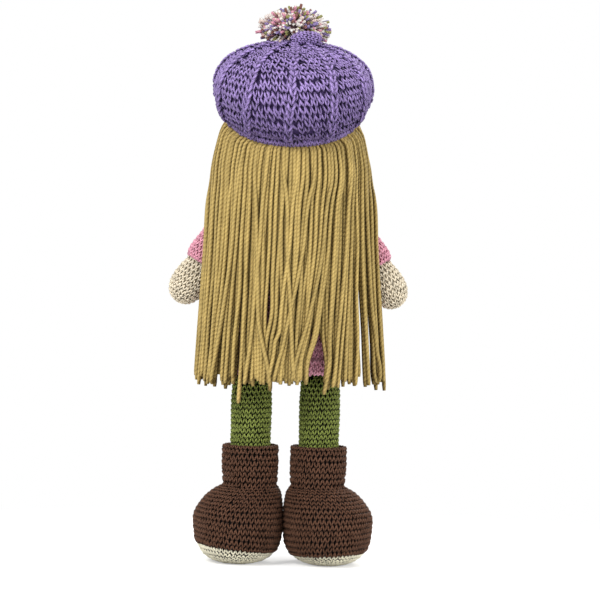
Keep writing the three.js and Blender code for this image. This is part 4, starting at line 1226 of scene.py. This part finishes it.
def locks(turn, rng, follow, pull):
    """How many degrees each strand leans at its lower end: a share of the hair's lean there, and a pull
    towards the middle of its lock."""
    edges = [-LOCKS_REACH]
    while edges[-1] < LOCKS_REACH:
        edges.append(edges[-1] + LOCK_WIDTH * rng.uniform(*LOCK_WIDTH_SHARES))
    edges = np.array(edges)
    lock = np.searchsorted(edges, turn) - 1
    middle = (edges[lock] + edges[np.minimum(lock + 1, len(edges) - 1)]) / 2
    shift = rng.normal(0, LOCK_SPREAD, len(edges))[lock] + rng.normal(0, LEAN_SPREAD, len(turn))
    return follow * (np.interp(turn, *np.array(HAIR_LEANS).T) + shift) + (middle - turn) * pull


def hair_layers(rng):
    """The hair's layers from the outside in, and last the strands that cross over them."""
    strands = sizes().hair_strands
    layers = []
    for share, first, more, light in HAIR_LAYERS:
        count = strands + more
        angle = np.radians(np.linspace(-STRANDS_REACH, STRANDS_REACH, HAIR_OVAL_STEPS))
        turn = np.degrees(evenly_round(HAIR_HALF_DEPTH, HAIR_HALF_WIDTH, angle, np.linspace(0, 1, count)))
        turn = turn + rng.normal(0, TURN_SPREAD, count)
        depth = share + rng.normal(0, LAYER_SPREAD_SHARE, count)
        ends = rng.normal(LENGTH_MEAN, LENGTH_SPREAD, count)
        ends = (ends + LENGTH_EXTRA * (rng.random(count) > LENGTH_COMMON_SHARE)) * MM
        for angle, longer in LONG_STRANDS if light == 1 else []:
            ends[np.argmin(np.abs(turn - angle))] += longer
        tint = np.clip(rng.normal(0.5, TINT_SPREAD_SHARE, count), 0, 1)
        lean = locks(turn, rng, follow=light**4, pull=LOCK_PULL * light**3)
        place, half_width, height = LOW_GAP
        at_end = HAIR_HALF_WIDTH * np.sin(np.radians(turn + lean)) + HAIR_SWAY
        ends = np.where((light < 1) & (np.abs(at_end - place) < half_width), -height, ends)
        layers.append(Layer(turn, depth, first, ends, lean, np.zeros(count), tint, light))
    turn, lean = np.array(CROSSING_STRANDS, float).T
    depth, lift = np.full(len(turn), CROSSING_SHARE), np.full(len(turn), CROSSING_LIFT_SHARE)
    ends = rng.normal(LENGTH_MEAN, LENGTH_SPREAD, len(turn)) * MM
    layers.append(Layer(turn, depth, 0, ends, lean, lift, rng.random(len(turn)), 1.0))
    return layers


class CROCHETDOLL_OT_hair(bpy.types.Operator):
    """Makes the strands of hair at the back and at both sides."""

    bl_idname = "crochet_doll.hair"
    bl_label = "Hair"

    def execute(self, context):
        blond = yarn_material("Blond yarn", colours().blond, shade_share=0.2, twist=1.0, groove=0.28,
                              uneven=0.3, hollow=0.98, sheen=0.04, bump=HAIR_BUMP)
        rng = np.random.default_rng(SEED + 50)
        radius = sizes().hair_radius
        around = 0.5 + 0.5 * np.sin(2 * np.pi * np.arange(STRAND_SIDES) / STRAND_SIDES)
        bunches = {"hair_back": [], "hair_left": [], "hair_right": []}
        for layer in hair_layers(rng):
            lines, outward = strand_lines(layer, rng)
            radii = radius * rng.normal(1, THICKNESS_SPREAD_SHARE, (len(lines), 1)) * np.ones(STRAND_STEPS)
            radii[:, -1] *= STRAND_TIP_SHARE
            tubes = yarn_tubes(lines, radii, STRAND_SIDES, outward).reshape(len(lines), -1, 3)
            length = np.linalg.norm(np.diff(lines, axis=1), axis=2).sum(axis=1).mean() / (2 * radius)
            side = np.where(layer.turn > 0, "hair_left", "hair_right")
            names = np.where(np.abs(layer.turn) < BACK_HALF_ANGLE, "hair_back", side)
            # Painted shade: a strand is painted darker on its sides and inner side, and inner layers darker
            # still
            strand_painted_light = np.tile(around**STRAND_SHADE_POWER * layer.light, STRAND_STEPS)
            for name in np.unique(names):
                part = repeated(tubes[names == name], tube_faces(STRAND_STEPS, STRAND_SIDES), rng, length,
                                tint=layer.tint[names == name], phase=1.0, depth=strand_painted_light)
                bunches[name].append(part)
        for name, parts in bunches.items():
            piece = make_piece(f"{name}_strands", parts, blond)
            dress(piece, None, "blond_yarn", name)
            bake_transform(piece)
        return {"FINISHED"}


class CROCHETDOLL_OT_wig_cap(bpy.types.Operator):
    """Makes the crocheted cap that the hair is sewn to."""

    bl_idname = "crochet_doll.wig_cap"
    bl_label = "Wig cap"

    def execute(self, context):
        direction = sphere_grid(math.pi / 2 - CAP_REACH, CAP_TOP, steps=90, columns=120)
        grid = on_head(turned(direction, (1, 0, 0), -CAP_LEAN), CAP_HIGH.x - HEAD_HALF_WIDTH - CAP_SINK)
        crochet("wig_cap_knit", grid, yarn_material("Cap yarn", colours().blond), "head", "blond_yarn",
                "wig_cap", seed=7, row_height=CAP_ROW, stitch_width=CAP_STITCH)
        return {"FINISHED"}


# Beret


def on_beret(points):
    """Points from the beret's own frame, which stands on its band, to the doll's. Above the band each level
    is turned further forward than the one below it, and then the whole leans back."""
    turn = CROWN_UPRIGHT / (BERET_HEIGHT - CROWN_BOTTOM)
    x, y, z = points[..., 0], points[..., 1], points[..., 2]
    angle = np.maximum(z - CROWN_BOTTOM, 0) * turn
    sine, cosine = np.sin(angle), np.cos(angle)
    level = np.minimum(z, CROWN_BOTTOM) + (y + 1 / turn) * sine
    bent = np.stack([x, y * cosine - (1 - cosine) / turn, level], axis=-1)
    up = np.array([0, math.sin(BERET_LEAN), math.cos(BERET_LEAN)])
    return turned(bent, (1, 0, 0), -BERET_LEAN) + (np.array([0, MIDDLE_Y, HEAD_CENTRE]) + BERET_SEAT * up)


def spoke_columns(cloth, share):
    """The columns of the beret's raised spokes at some shares of the way from the band to the top. One
    runs up the middle of the back, a quarter turn from the first column."""
    drift = np.interp(share, *np.array(SPOKE_DRIFT_SHARES).T)
    return cloth.columns * (BACK_SHARE + np.arange(SPOKES)[:, None] / SPOKES + drift[None, :])


def from_spoke(cloth, share, column):
    """How many columns a place is past its nearest spoke."""
    away = column - spoke_columns(cloth, share)
    away = (away + cloth.columns / 2) % cloth.columns - cloth.columns / 2
    return np.take_along_axis(away, np.abs(away).argmin(axis=0)[None], axis=0)[0]


def ribbed_crown(row_height):
    """The crown's cloth, from where it laps over its band to its top. It has a ridge along each spoke, which
    is a bell curve of the way from it, and a groove of the same curve after every second row."""
    swell = [(h, BAND_RADIUS + (BERET_RADIUS - BAND_RADIUS) * s) for h, s in SWELL_SHARES]
    dome = [(h, BERET_RADIUS * s) for h, s in DOME_SHARES]
    outline = [(CROWN_BOTTOM + (BERET_HEIGHT - CROWN_BOTTOM) * h, r) for h, r in swell + dome]
    outline = [(CROWN_BOTTOM - BERET_LAP, BAND_RADIUS + LAP_OUT), *outline, (BERET_HEIGHT, 0)]
    cloth = Cloth(on_beret(round_grid(outline, steps=230, columns=200, flat_ends=(False, True))))
    share = np.linspace(0, 1, cloth.rows)
    row, column = np.mgrid[0 : cloth.rows, 0 : cloth.columns]
    away = from_spoke(cloth, share[row.ravel()], column.ravel()).reshape(row.shape)
    nearest = np.abs(away) * (cloth.girth / cloth.columns)[:, None] / SPOKE_WIDTH
    fade = np.clip((1 - share) / CROWN_FADE_SHARE, 0, 1)[:, None]
    ridge = SPOKE_RIDGE * bell(nearest, 1)
    ditch = -DITCH_SHARE * SPOKE_RIDGE * bell(nearest - DITCH_PLACE, DITCH_WIDTH)
    place = (cloth.along / (2 * row_height)) % 1
    between = bell(np.abs(place - 0.5) - 0.5, GROOVE_WIDTH_SHARE)[:, None]
    groove = -BERET_GROOVE * between * (1 - bell(nearest, 1))
    return cloth.raised((ridge + ditch + groove) * fade)


def crown_part(cloth, stitch, plan, sink, uneven, rng):
    """Stitches on the crown. Near the band, where the fabric is gathered, they are painted darker: painted
    shade.
    """
    points = put_stitches(cloth, stitch, plan, sink, rng, uneven)
    gathered = np.clip((plan[0] / (cloth.rows - 1) - GATHER_START_SHARE) / GATHER_SPAN_SHARE, 0, 1)
    light = GATHER_LIGHT_SHARE + (1 - GATHER_LIGHT_SHARE) * gathered
    return repeated(points, stitch.faces, rng, BERET_TURNS, depth=stitch.depth, light=light)


def crown_rows(cloth, rng):
    """The crown's level rows of stitches, with some stitches left out beside the spokes."""
    s = sizes()
    plan = row_plan(cloth, s.beret_row, s.beret_stitch, BERET_STITCH_LEAN, 0, BERET_LEAST_STITCHES)
    row, column, tall, wide, number = plan
    row = row + np.where(number % 2 == 0, BERET_ROW_SHIFT, -BERET_ROW_SHIFT) * tall
    past = from_spoke(cloth, (row + tall / 2) / (cloth.rows - 1), column) / wide
    hole = (np.abs(past - HOLE_PLACE) < HOLE_REACH) & (rng.random(len(row)) < HOLE_SHARE)
    plan = tuple(values[~hole] for values in (row, column, tall, wide))
    stitch = Stitch(s.beret_radius, s.beret_stitch, s.beret_row, BERET_SLANT)
    return crown_part(cloth, stitch, plan, BERET_SINK_SHARE * s.beret_radius, BERET_UNEVEN, rng)


def crown_chains(cloth, rng):
    """The chain of stitches on each spoke, from the band nearly to the top."""
    stitch = Stitch(CHAIN_RADIUS, CHAIN_WIDTH, CHAIN_HEIGHT)
    links = np.arange(CHAIN_START_SHARE * CHAIN_HEIGHT, cloth.length * CHAIN_END_SHARE, CHAIN_HEIGHT)
    rows = np.arange(cloth.rows)
    row = np.interp(links, cloth.along, rows)
    tall = np.full(len(links), CHAIN_HEIGHT / cloth.length * (cloth.rows - 1))
    girth = np.interp(row, rows, cloth.girth)
    wide = np.minimum(CHAIN_WIDTH / girth, CHAIN_FILL_SHARE / SPOKES) * cloth.columns
    return [
        crown_part(cloth, stitch, (row, column, tall, wide), 0, CHAIN_UNEVEN, rng)
        for column in spoke_columns(cloth, row / (cloth.rows - 1))
    ]


class CROCHETDOLL_OT_beret(bpy.types.Operator):
    """Makes the beret: its crown with raised spokes, its band and its tab."""

    bl_idname = "crochet_doll.beret"
    bl_label = "Beret"

    def execute(self, context):
        lilac = yarn_material("Lilac yarn", colours().lilac, shade_share=0.16, hollow=1.0)
        rng = np.random.default_rng(SEED + 20)
        cloth = ribbed_crown(sizes().beret_row)
        parts = [crown_rows(cloth, rng), *crown_chains(cloth, rng), backing(cloth, BERET_BACKING_SINK)]
        dress(make_piece("beret_crown_knit", parts, lilac), "beret", "lilac_yarn", "beret_crown")
        grid = on_beret(round_grid(BAND_LIP, steps=40, columns=160))
        crochet("beret_band_knit", grid, lilac, "beret", "lilac_yarn", "beret_band", seed=21, spiral=0,
                row_height=BAND_ROW, stitch_width=BAND_STITCH, light=BAND_LIGHT_SHARE)
        seat = BERET_HEIGHT + TAB_RADIUS + SEAM_GAP
        bend = [(x * TAB_LENGTH, y * TAB_LENGTH, seat + z * TAB_RADIUS) for x, y, z in TAB_SHARES]
        round_end = 1 - np.linspace(-1, 1, TAB_STEPS) ** TAB_END_POWER
        radii = TAB_RADIUS * np.sqrt(np.clip(round_end, TAB_END_SHARE, 1))
        grid = on_beret(yarn_tubes(smooth_line(bend, TAB_STEPS), radii, TAB_SIDES, (0, 0, 1))[:, ::-1])
        crochet("beret_tab_knit", grid, lilac, "beret", "lilac_yarn", "beret_tab", seed=22,
                row_height=TAB_STITCH, stitch_width=TAB_STITCH, radius=TAB_YARN_RADIUS)
        return {"FINISHED"}


def pompom_material():
    """Multicoloured yarn: each yarn end's tint picks one of the colours that it was spun from."""
    material, tree = empty_material("Mixed yarn")
    ramp = add_node(tree, "ValToRGB", Fac=attribute(tree, "tint"))
    ramp.color_ramp.interpolation = "CONSTANT"
    elements = ramp.color_ramp.elements
    while len(elements) < len(POMPOM_COLOURS):
        elements.new(0.5)
    for number, colour in enumerate(POMPOM_COLOURS):
        elements[number].position = number / len(POMPOM_COLOURS)
        elements[number].color = (*linear(colour), 1)
    colour = ramp.outputs["Color"]
    # The painted shade colour: each yarn's colour darkened by the pompom's shade
    dark = blend_colours(tree, 1.0, colour, POMPOM_SHADE, "MULTIPLY")
    yarn = spun_yarn(tree, Colour=colour, Shade=dark, Plies=2.0, Twist=1.3, Groove=0.4, Uneven=0.15,
                     Hollow=0.9)
    principled(tree, yarn["Height"], YARN_BUMP, Base_Color=yarn["Colour"], Roughness=0.85,
               Sheen_Weight=0.25)
    return material


class CROCHETDOLL_OT_pompom(bpy.types.Operator):
    """Makes the pompom of cut yarn ends."""

    bl_idname = "crochet_doll.pompom"
    bl_label = "Pompom"

    def execute(self, context):
        rng = np.random.default_rng(SEED + 30)
        count = sizes().pompom_ends
        number = np.arange(count) + 0.5
        up = 1 - 2 * number / count
        turn = number * math.pi * (1 + math.sqrt(5))
        level = np.sqrt(1 - up**2)
        direction = np.stack([level * np.cos(turn), level * np.sin(turn), up], axis=1)
        direction += rng.normal(0, END_TURN_SPREAD, direction.shape)
        direction /= np.linalg.norm(direction, axis=1, keepdims=True)
        half = [POMPOM_HALF_WIDTH, POMPOM_HALF_WIDTH, POMPOM_HALF_HEIGHT - POMPOM_TOP_INSET]
        half = np.array(half) - POMPOM_INSET
        along = END_SHARES[None, :, None]
        reach = np.clip(rng.normal(END_REACH, END_REACH_SPREAD, count), *END_REACH_LIMITS)
        bend = np.clip(rng.normal(0, END_BEND_SPREAD, (count, 3)), -END_BEND_LIMIT, END_BEND_LIMIT) * MM
        lines = direction[:, None] * half * along * reach[:, None, None] + bend[:, None] * along**3
        seat = [0, -POMPOM_FORWARD, BERET_HEIGHT + POMPOM_SEAT]
        lines = lines + seat
        away = np.linalg.norm(lines[:, -1, :2], axis=1) / BERET_RADIUS
        kept = lines[:, -1, 2] > BERET_HEIGHT + CROWN_CLEAR - CROWN_FALL * away**2
        lines = on_beret(lines[kept])
        thickness = rng.normal(1.0, END_THICKNESS_SPREAD, (len(lines), 1)) * POMPOM_YARN_RADIUS
        tubes = yarn_tubes(lines, thickness * END_THICKNESS_SHARES, POMPOM_SIDES, out=(0.3, 0.2, 1))
        part = repeated(tubes.reshape(len(lines), -1, 3), tube_faces(len(END_SHARES), POMPOM_SIDES), rng,
                        POMPOM_TURNS, depth=np.repeat(END_LIGHT_SHARES, POMPOM_SIDES))
        high, wide = POMPOM_HALF_HEIGHT * POMPOM_CORE_SHARE, POMPOM_HALF_WIDTH * POMPOM_CORE_SHARE
        core = round_grid([(-high, 0), (0, wide), (high, 0)], steps=20, columns=32, flat_ends=(True, True))
        parts = [part, backing(Cloth(on_beret(core + seat)), 0, step=1)]
        dress(make_piece("pompom_yarn", parts, pompom_material()), "beret", "mixed_yarn", "pompom")
        return {"FINISHED"}


# Arms


class CROCHETDOLL_OT_arms(bpy.types.Operator):
    """Makes the sleeves and the hands."""

    bl_idname = "crochet_doll.arms"
    bl_label = "Arms"

    def execute(self, context):
        sleeve = [
            (-SLEEVE_LENGTH + SLEEVE_ROLL, WRIST_RADIUS),
            (-SLEEVE_LENGTH + SEAM_GAP, (WRIST_RADIUS + ARM_RADIUS) / 2),
            (-SLEEVE_LENGTH + SLEEVE_ROLL / 2, ARM_RADIUS),
            (-SLEEVE_LENGTH / 2, ARM_RADIUS),
            (0, ARM_RADIUS),
            *((-at * ARM_RADIUS, share * ARM_RADIUS) for at, share in SLEEVE_SHARES),
            (ARM_RADIUS, 0),
        ]
        wrist = -SLEEVE_LENGTH - SEAM_GAP
        hand = [
            (wrist - HAND_LENGTH, 0),
            *((wrist - at * HAND_LENGTH, share * HAND_RADIUS) for at, share in HAND_SHARES),
            (wrist, WRIST_RADIUS),
            (wrist + 2 * SLEEVE_ROLL, WRIST_RADIUS - SEAM_GAP),
        ]
        height = TORSO_LOW.z + TORSO_HEIGHT * SHOULDER_SHARE
        for side, sign in SIDES.items():
            body, shoulder = f"arm_{side}", [sign * SHOULDER_REACH, MIDDLE_Y, height]

            def splayed(grid):
                return turned(grid, (0, 1, 0), -sign * ARM_SPLAY) + shoulder

            grid = splayed(round_grid(sleeve, steps=90, columns=64, flat_ends=(False, True)))
            crochet(f"sleeve_{side}_knit", grid, pink_yarn(), body, "pink_yarn", f"sleeve_{side}",
                    f"arm_stuffing_{side}", seed=30 + sign, fill=0.9)
            grid = splayed(round_grid(hand, steps=70, columns=64, flat_ends=(True, False)))
            crochet(f"hand_{side}_knit", grid, skin_yarn(), body, "cream_yarn", f"hand_{side}",
                    seed=34 + sign, fill=0.9)
        return {"FINISHED"}


# Legs


class CROCHETDOLL_OT_legs(bpy.types.Operator):
    """Makes the leggings and the seat of the trousers."""

    bl_idname = "crochet_doll.legs"
    bl_label = "Legs"

    def execute(self, context):
        green = yarn_material("Green yarn", colours().green, shade_share=0.05, hollow=1.0, groove=0.5,
                              sheen=0.05)
        outline = [(z, LEG_RADIUS, LEG_RADIUS) for z in (LEG_BOTTOM, (LEG_BOTTOM + HIP_HEIGHT) / 2)]
        for share in LEG_TOP_SHARES:
            width = LEG_RADIUS * (1 + (LEG_TOP_WIDTH_SHARE - 1) * share)
            outline.append((HIP_HEIGHT + LEG_RADIUS * share, width, LEG_RADIUS * math.sqrt(1 - share**2)))
        for side, sign in SIDES.items():
            rows = [(*row, sign * LEG_SPACING, MIDDLE_Y) for row in outline]
            grid = oval_grid(rows, steps=110, columns=80)
            crochet(f"legging_{side}_knit", grid, green, f"leg_{side}", "green_yarn", f"legging_{side}",
                    f"leg_stuffing_{side}", seed=40 + sign, fill=0.9)
        width, depth = (SEAT_HIGH.x - SEAT_LOW.x) / 2, (SEAT_HIGH.y - SEAT_LOW.y) / 2
        seat = [
            (z, width * share, depth * share, 0, MIDDLE_Y)
            for z, share in ((SEAT_LOW.z, SEAT_MIDDLE_SHARE), (SEAT_LOW.z, SEAT_EDGE_SHARE),
                             (SEAT_LOW.z + SEAT_TUCK, 1), (SEAT_HIGH.z, 1))
        ]
        crochet("trouser_seat_knit", oval_grid(seat, steps=60, columns=96), green, "torso", "green_yarn",
                "trouser_seat", seed=43, sink=SEAT_SINK)
        return {"FINISHED"}


def boot_cloth(sign, edge, tilt, row_height):
    """The boot's cloth from the middle of its tread to its rim, and the number of its first brown row. Near
    the sole's edge the rows rise by the tilt towards the outer side, by a share that fades below and above
    it. The shaft has a groove after every second row, and a crease where it meets the foot."""

    def section(z, width, depth, moved):
        x = sign * (LEG_SPACING + FOOT_OUTSET * (1 - moved))
        return z, width, depth, x, MIDDLE_Y - FOOT_FORWARD * (1 - moved)

    width, length = TREAD_SHARES
    outline = [(0, 0, 0, 0), (TREAD_HEIGHT / ANKLE_HEIGHT, width, length, 0), *FOOT_SHARES]
    full = np.array([ANKLE_HEIGHT, FOOT_HALF_WIDTH, FOOT_HALF_LENGTH, 1])
    rows = [section(*(full * shares)) for shares in outline]
    for z in (ANKLE_HEIGHT, (ANKLE_HEIGHT + SHAFT_TOP) / 2, SHAFT_TOP - RIM_HEIGHT):
        rows.append(section(z, SHAFT_RADIUS, SHAFT_RADIUS, 1))
    cloth = Cloth(oval_grid(rows, steps=200, columns=130, flat_ends=(True, False)))
    x, _, z = np.moveaxis(cloth.points, -1, 0)
    outward = (x - sign * (LEG_SPACING + FOOT_OUTSET)) * sign / FOOT_HALF_WIDTH
    near = np.clip(z / edge, 0, 1) * np.clip(1 - (z - edge) / TILT_FADE, 0, 1)
    cloth = cloth.slanted(tilt * outward * near)
    edge_row = np.interp(edge, z[:, 0], np.arange(cloth.rows))
    first = round(edge_row / (cloth.rows - 1) * max(1, round(cloth.length / row_height)))
    up = cloth.points[..., 2] - ANKLE_HEIGHT
    between = bell(np.abs(up / (2 * row_height) % 1 - 0.5) - 0.5, SHAFT_GROOVE_SHARE)
    groove = -SHAFT_GROOVE * between * (up > SHAFT_GROOVE_START)
    return cloth.raised(groove - CREASE_DEPTH * bell(up - CREASE_RISE, CREASE_WIDTH)), first


class CROCHETDOLL_OT_boots(bpy.types.Operator):
    """Makes the boots: soles, uppers with their shafts, and rims."""

    bl_idname = "crochet_doll.boots"
    bl_label = "Boots"

    def execute(self, context):
        brown = yarn_material("Brown yarn", colours().brown, shade_share=0.04, hollow=1.0, groove=0.5,
                              sheen=0.02)
        cream = yarn_material("Sole yarn", colours().cream, shade_share=0.5, hollow=0.15, groove=0.1)
        for side, sign in SIDES.items():
            body, seed = f"leg_{side}", 50 + sign
            cloth, first = boot_cloth(sign, *SOLE_EDGES[side], sizes().row_height)
            crochet(f"boot_{side}_knit", cloth, brown, body, "brown_yarn", f"boot_{side}",
                    f"boot_stuffing_{side}", seed=seed, fill=0.95, keep=lambda row, _: row >= first,
                    spiral=0, sink=BOOT_SINK)
            crochet(f"sole_{side}_knit", cloth, cream, body, "sole_yarn", f"sole_{side}", seed=seed,
                    keep=lambda row, _: row < first, spiral=0, sink=SOLE_SINK, back=False)
            rim = [(SHAFT_TOP - down, RIM_RADIUS - inwards) for down, inwards in RIM_OUTLINE]
            grid = round_grid(rim, steps=60, columns=96, middle=(sign * LEG_SPACING, MIDDLE_Y))
            crochet(f"boot_rim_{side}_knit", grid, brown, body, "brown_yarn", f"boot_rim_{side}",
                    seed=54 + sign, spiral=0)
        return {"FINISHED"}


# Hidden parts


def hidden_material(name, colour, roughness, scale, stretch):
    """A plain material with a fine grain, for a part inside the doll."""
    material, tree = empty_material(name)
    mapping = add_node(tree, "Mapping", Vector=object_place(tree), Scale=(1, 1, stretch))
    grain = noise(tree, mapping.outputs["Vector"], scale, 5.0)
    dark = tuple(channel * GRAIN_SHADE_SHARE for channel in linear(colour))
    principled(tree, grain, GRAIN_BUMP, Base_Color=blend_colours(tree, grain, dark, linear(colour)),
               Roughness=roughness)
    return material


class CROCHETDOLL_OT_hidden_parts(bpy.types.Operator):
    """Gives the parts inside the doll their materials: washers, dowel and insoles."""

    bl_idname = "crochet_doll.hidden_parts"
    bl_label = "Hidden parts"

    def execute(self, context):
        plastic = hidden_material("White plastic", 0xE8E8E6, roughness=0.4, scale=700.0, stretch=1.0)
        wood = hidden_material("Turned wood", 0xC39A62, roughness=0.6, scale=900.0, stretch=0.08)
        board = hidden_material("Grey board", 0xD8D4CC, roughness=0.9, scale=1500.0, stretch=1.0)
        for node, material in (("eye_washer_left", plastic), ("eye_washer_right", plastic),
                               ("neck_dowel", wood), ("insole_left", board), ("insole_right", board)):
            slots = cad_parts[node].data.materials
            slots.clear()
            slots.append(material)
        return {"FINISHED"}


# Stage


def seen_directly(tree):
    """1 for rays from the camera or from glossy or clear surfaces."""
    path = add_node(tree, "LightPath").outputs
    either = calculate(tree, "MAXIMUM", path["Is Camera Ray"], path["Is Glossy Ray"])
    return calculate(tree, "MAXIMUM", either, path["Is Transmission Ray"])


def stage_material():
    """Plain white paper. Seen directly it is brighter than lit, so that it is white and keeps shadows, and
    further from the doll it turns into the white of the background."""
    material, tree = empty_material("White paper")
    paper = add_node(tree, "BsdfDiffuse", Color=PAPER_GREY)
    both = add_node(tree, "AddShader")
    tree.links.new(paper.outputs[0], both.inputs[0])
    tree.links.new(add_node(tree, "Emission", Strength=PAPER_GLOW).outputs[0], both.inputs[1])
    distance = add_node(tree, "VectorMath", Vector=object_place(tree))
    distance.operation = "LENGTH"
    fade = add_node(tree, "MapRange", Value=distance.outputs["Value"], From_Min=FLOOR_SHADOW_REACH,
                    From_Max=2 * FLOOR_SHADOW_REACH)
    fade.interpolation_type = "SMOOTHSTEP"
    faded = mix_shaders(tree, fade.outputs["Result"], both, add_node(tree, "Emission"))
    mixed = mix_shaders(tree, seen_directly(tree), paper, faded)
    add_node(tree, "OutputMaterial", Surface=mixed.outputs[0])
    return material


def white_world():
    """A white background, which lights the doll a little less brightly than it is seen."""
    world = bpy.data.worlds.new("Studio")
    world.use_nodes = True
    tree = world.node_tree
    tree.nodes.clear()
    dim, bright = (add_node(tree, "Background", Color=(1, 1, 1), Strength=value) for value in SKY_STRENGTHS)
    mixed = mix_shaders(tree, seen_directly(tree), dim, bright)
    add_node(tree, "OutputWorld", Surface=mixed.outputs[0])
    return world


def placed(name, data, place, back, roll=0.0):
    """A lamp or camera at a place, facing away from the way back to it."""
    made = bpy.data.objects.new(name, data)
    made.location = place
    made.rotation_mode = "QUATERNION"
    made.rotation_quaternion = (-back).to_track_quat("-Z", "Y") @ Quaternion((0, 0, 1), roll)
    bpy.context.scene.collection.objects.link(made)
    return made


class CROCHETDOLL_OT_stage(bpy.types.Operator):
    """Makes the floor, the light and the camera."""

    bl_idname = "crochet_doll.stage"
    bl_label = "Stage"

    def execute(self, context):
        scene = context.scene
        mesh = bpy.data.meshes.new("floor")
        corners = [(x, y, 0) for x, y in ((-1, -1), (1, -1), (1, 1), (-1, 1))]
        mesh.from_pydata([Vector(corner) * FLOOR_HALF_WIDTH for corner in corners], [], [(0, 1, 2, 3)])
        mesh.materials.append(stage_material())
        floor = bpy.data.objects.new("floor", mesh)
        scene.collection.objects.link(floor)
        scene.world = white_world()
        for name, (place, size, power) in LAMPS.items():
            data = bpy.data.lights.new(name, "AREA")
            data.shape = "DISK"
            data.size = size
            data.energy = power
            placed(name, data, place, Vector(place) - Vector((0, 0, PHOTO_CENTRE[1])))
        data = bpy.data.cameras.new("camera")
        data.sensor_width = SENSOR_WIDTH
        data.lens = SENSOR_WIDTH * CAMERA_DISTANCE / PHOTO_WIDTH
        data.clip_end = CAMERA_END
        back = Vector((0, math.cos(CAMERA_ELEVATION), math.sin(CAMERA_ELEVATION)))
        place = Vector((PHOTO_CENTRE[0], 0, PHOTO_CENTRE[1])) + back * CAMERA_DISTANCE
        scene.camera = placed("camera", data, place, back, CAMERA_ROLL)
        scene.view_settings.view_transform = "Standard"
        return {"FINISHED"}


class CROCHETDOLL_PT_panel(bpy.types.Panel):
    """The doll's pieces, sizes and colours."""

    bl_idname = "CROCHETDOLL_PT_panel"
    bl_label = "Crochet Doll"
    bl_space_type = "VIEW_3D"
    bl_region_type = "UI"
    bl_category = "Doll"

    def draw(self, context):
        """Lists the operators, and then the sizes and colours."""
        for operator in OPERATORS:
            self.layout.operator(operator.bl_idname)
        for settings in (sizes(), colours()):
            box = self.layout.box()
            for name in settings.__annotations__:
                box.prop(settings, name)


OPERATORS = (
    CROCHETDOLL_OT_stage,
    CROCHETDOLL_OT_sweater,
    CROCHETDOLL_OT_head,
    CROCHETDOLL_OT_wig_cap,
    CROCHETDOLL_OT_hair,
    CROCHETDOLL_OT_beret,
    CROCHETDOLL_OT_pompom,
    CROCHETDOLL_OT_arms,
    CROCHETDOLL_OT_legs,
    CROCHETDOLL_OT_boots,
    CROCHETDOLL_OT_hidden_parts,
)
CLASSES = (DollSizes, DollColours, *OPERATORS, CROCHETDOLL_PT_panel)


def register():
    """Adds the doll's operators, panel, sizes and colours."""
    for cls in CLASSES:
        bpy.utils.register_class(cls)
    bpy.types.Scene.crochet_doll_sizes = bpy.props.PointerProperty(type=DollSizes)
    bpy.types.Scene.crochet_doll_colours = bpy.props.PointerProperty(type=DollColours)


def unregister():
    """Takes away what register adds."""
    del bpy.types.Scene.crochet_doll_colours
    del bpy.types.Scene.crochet_doll_sizes
    for cls in reversed(CLASSES):
        bpy.utils.unregister_class(cls)


def main():
    """Makes the whole doll and its stage."""
    register()
    bpy.ops.crochet_doll.stage()
    bpy.ops.crochet_doll.sweater()
    bpy.ops.crochet_doll.head()
    bpy.ops.crochet_doll.wig_cap()
    bpy.ops.crochet_doll.hair()
    bpy.ops.crochet_doll.beret()
    bpy.ops.crochet_doll.pompom()
    bpy.ops.crochet_doll.arms()
    bpy.ops.crochet_doll.legs()
    bpy.ops.crochet_doll.boots()
    bpy.ops.crochet_doll.hidden_parts()
    bpy.context.view_layer.update()


if __name__ == "__main__":
    main()
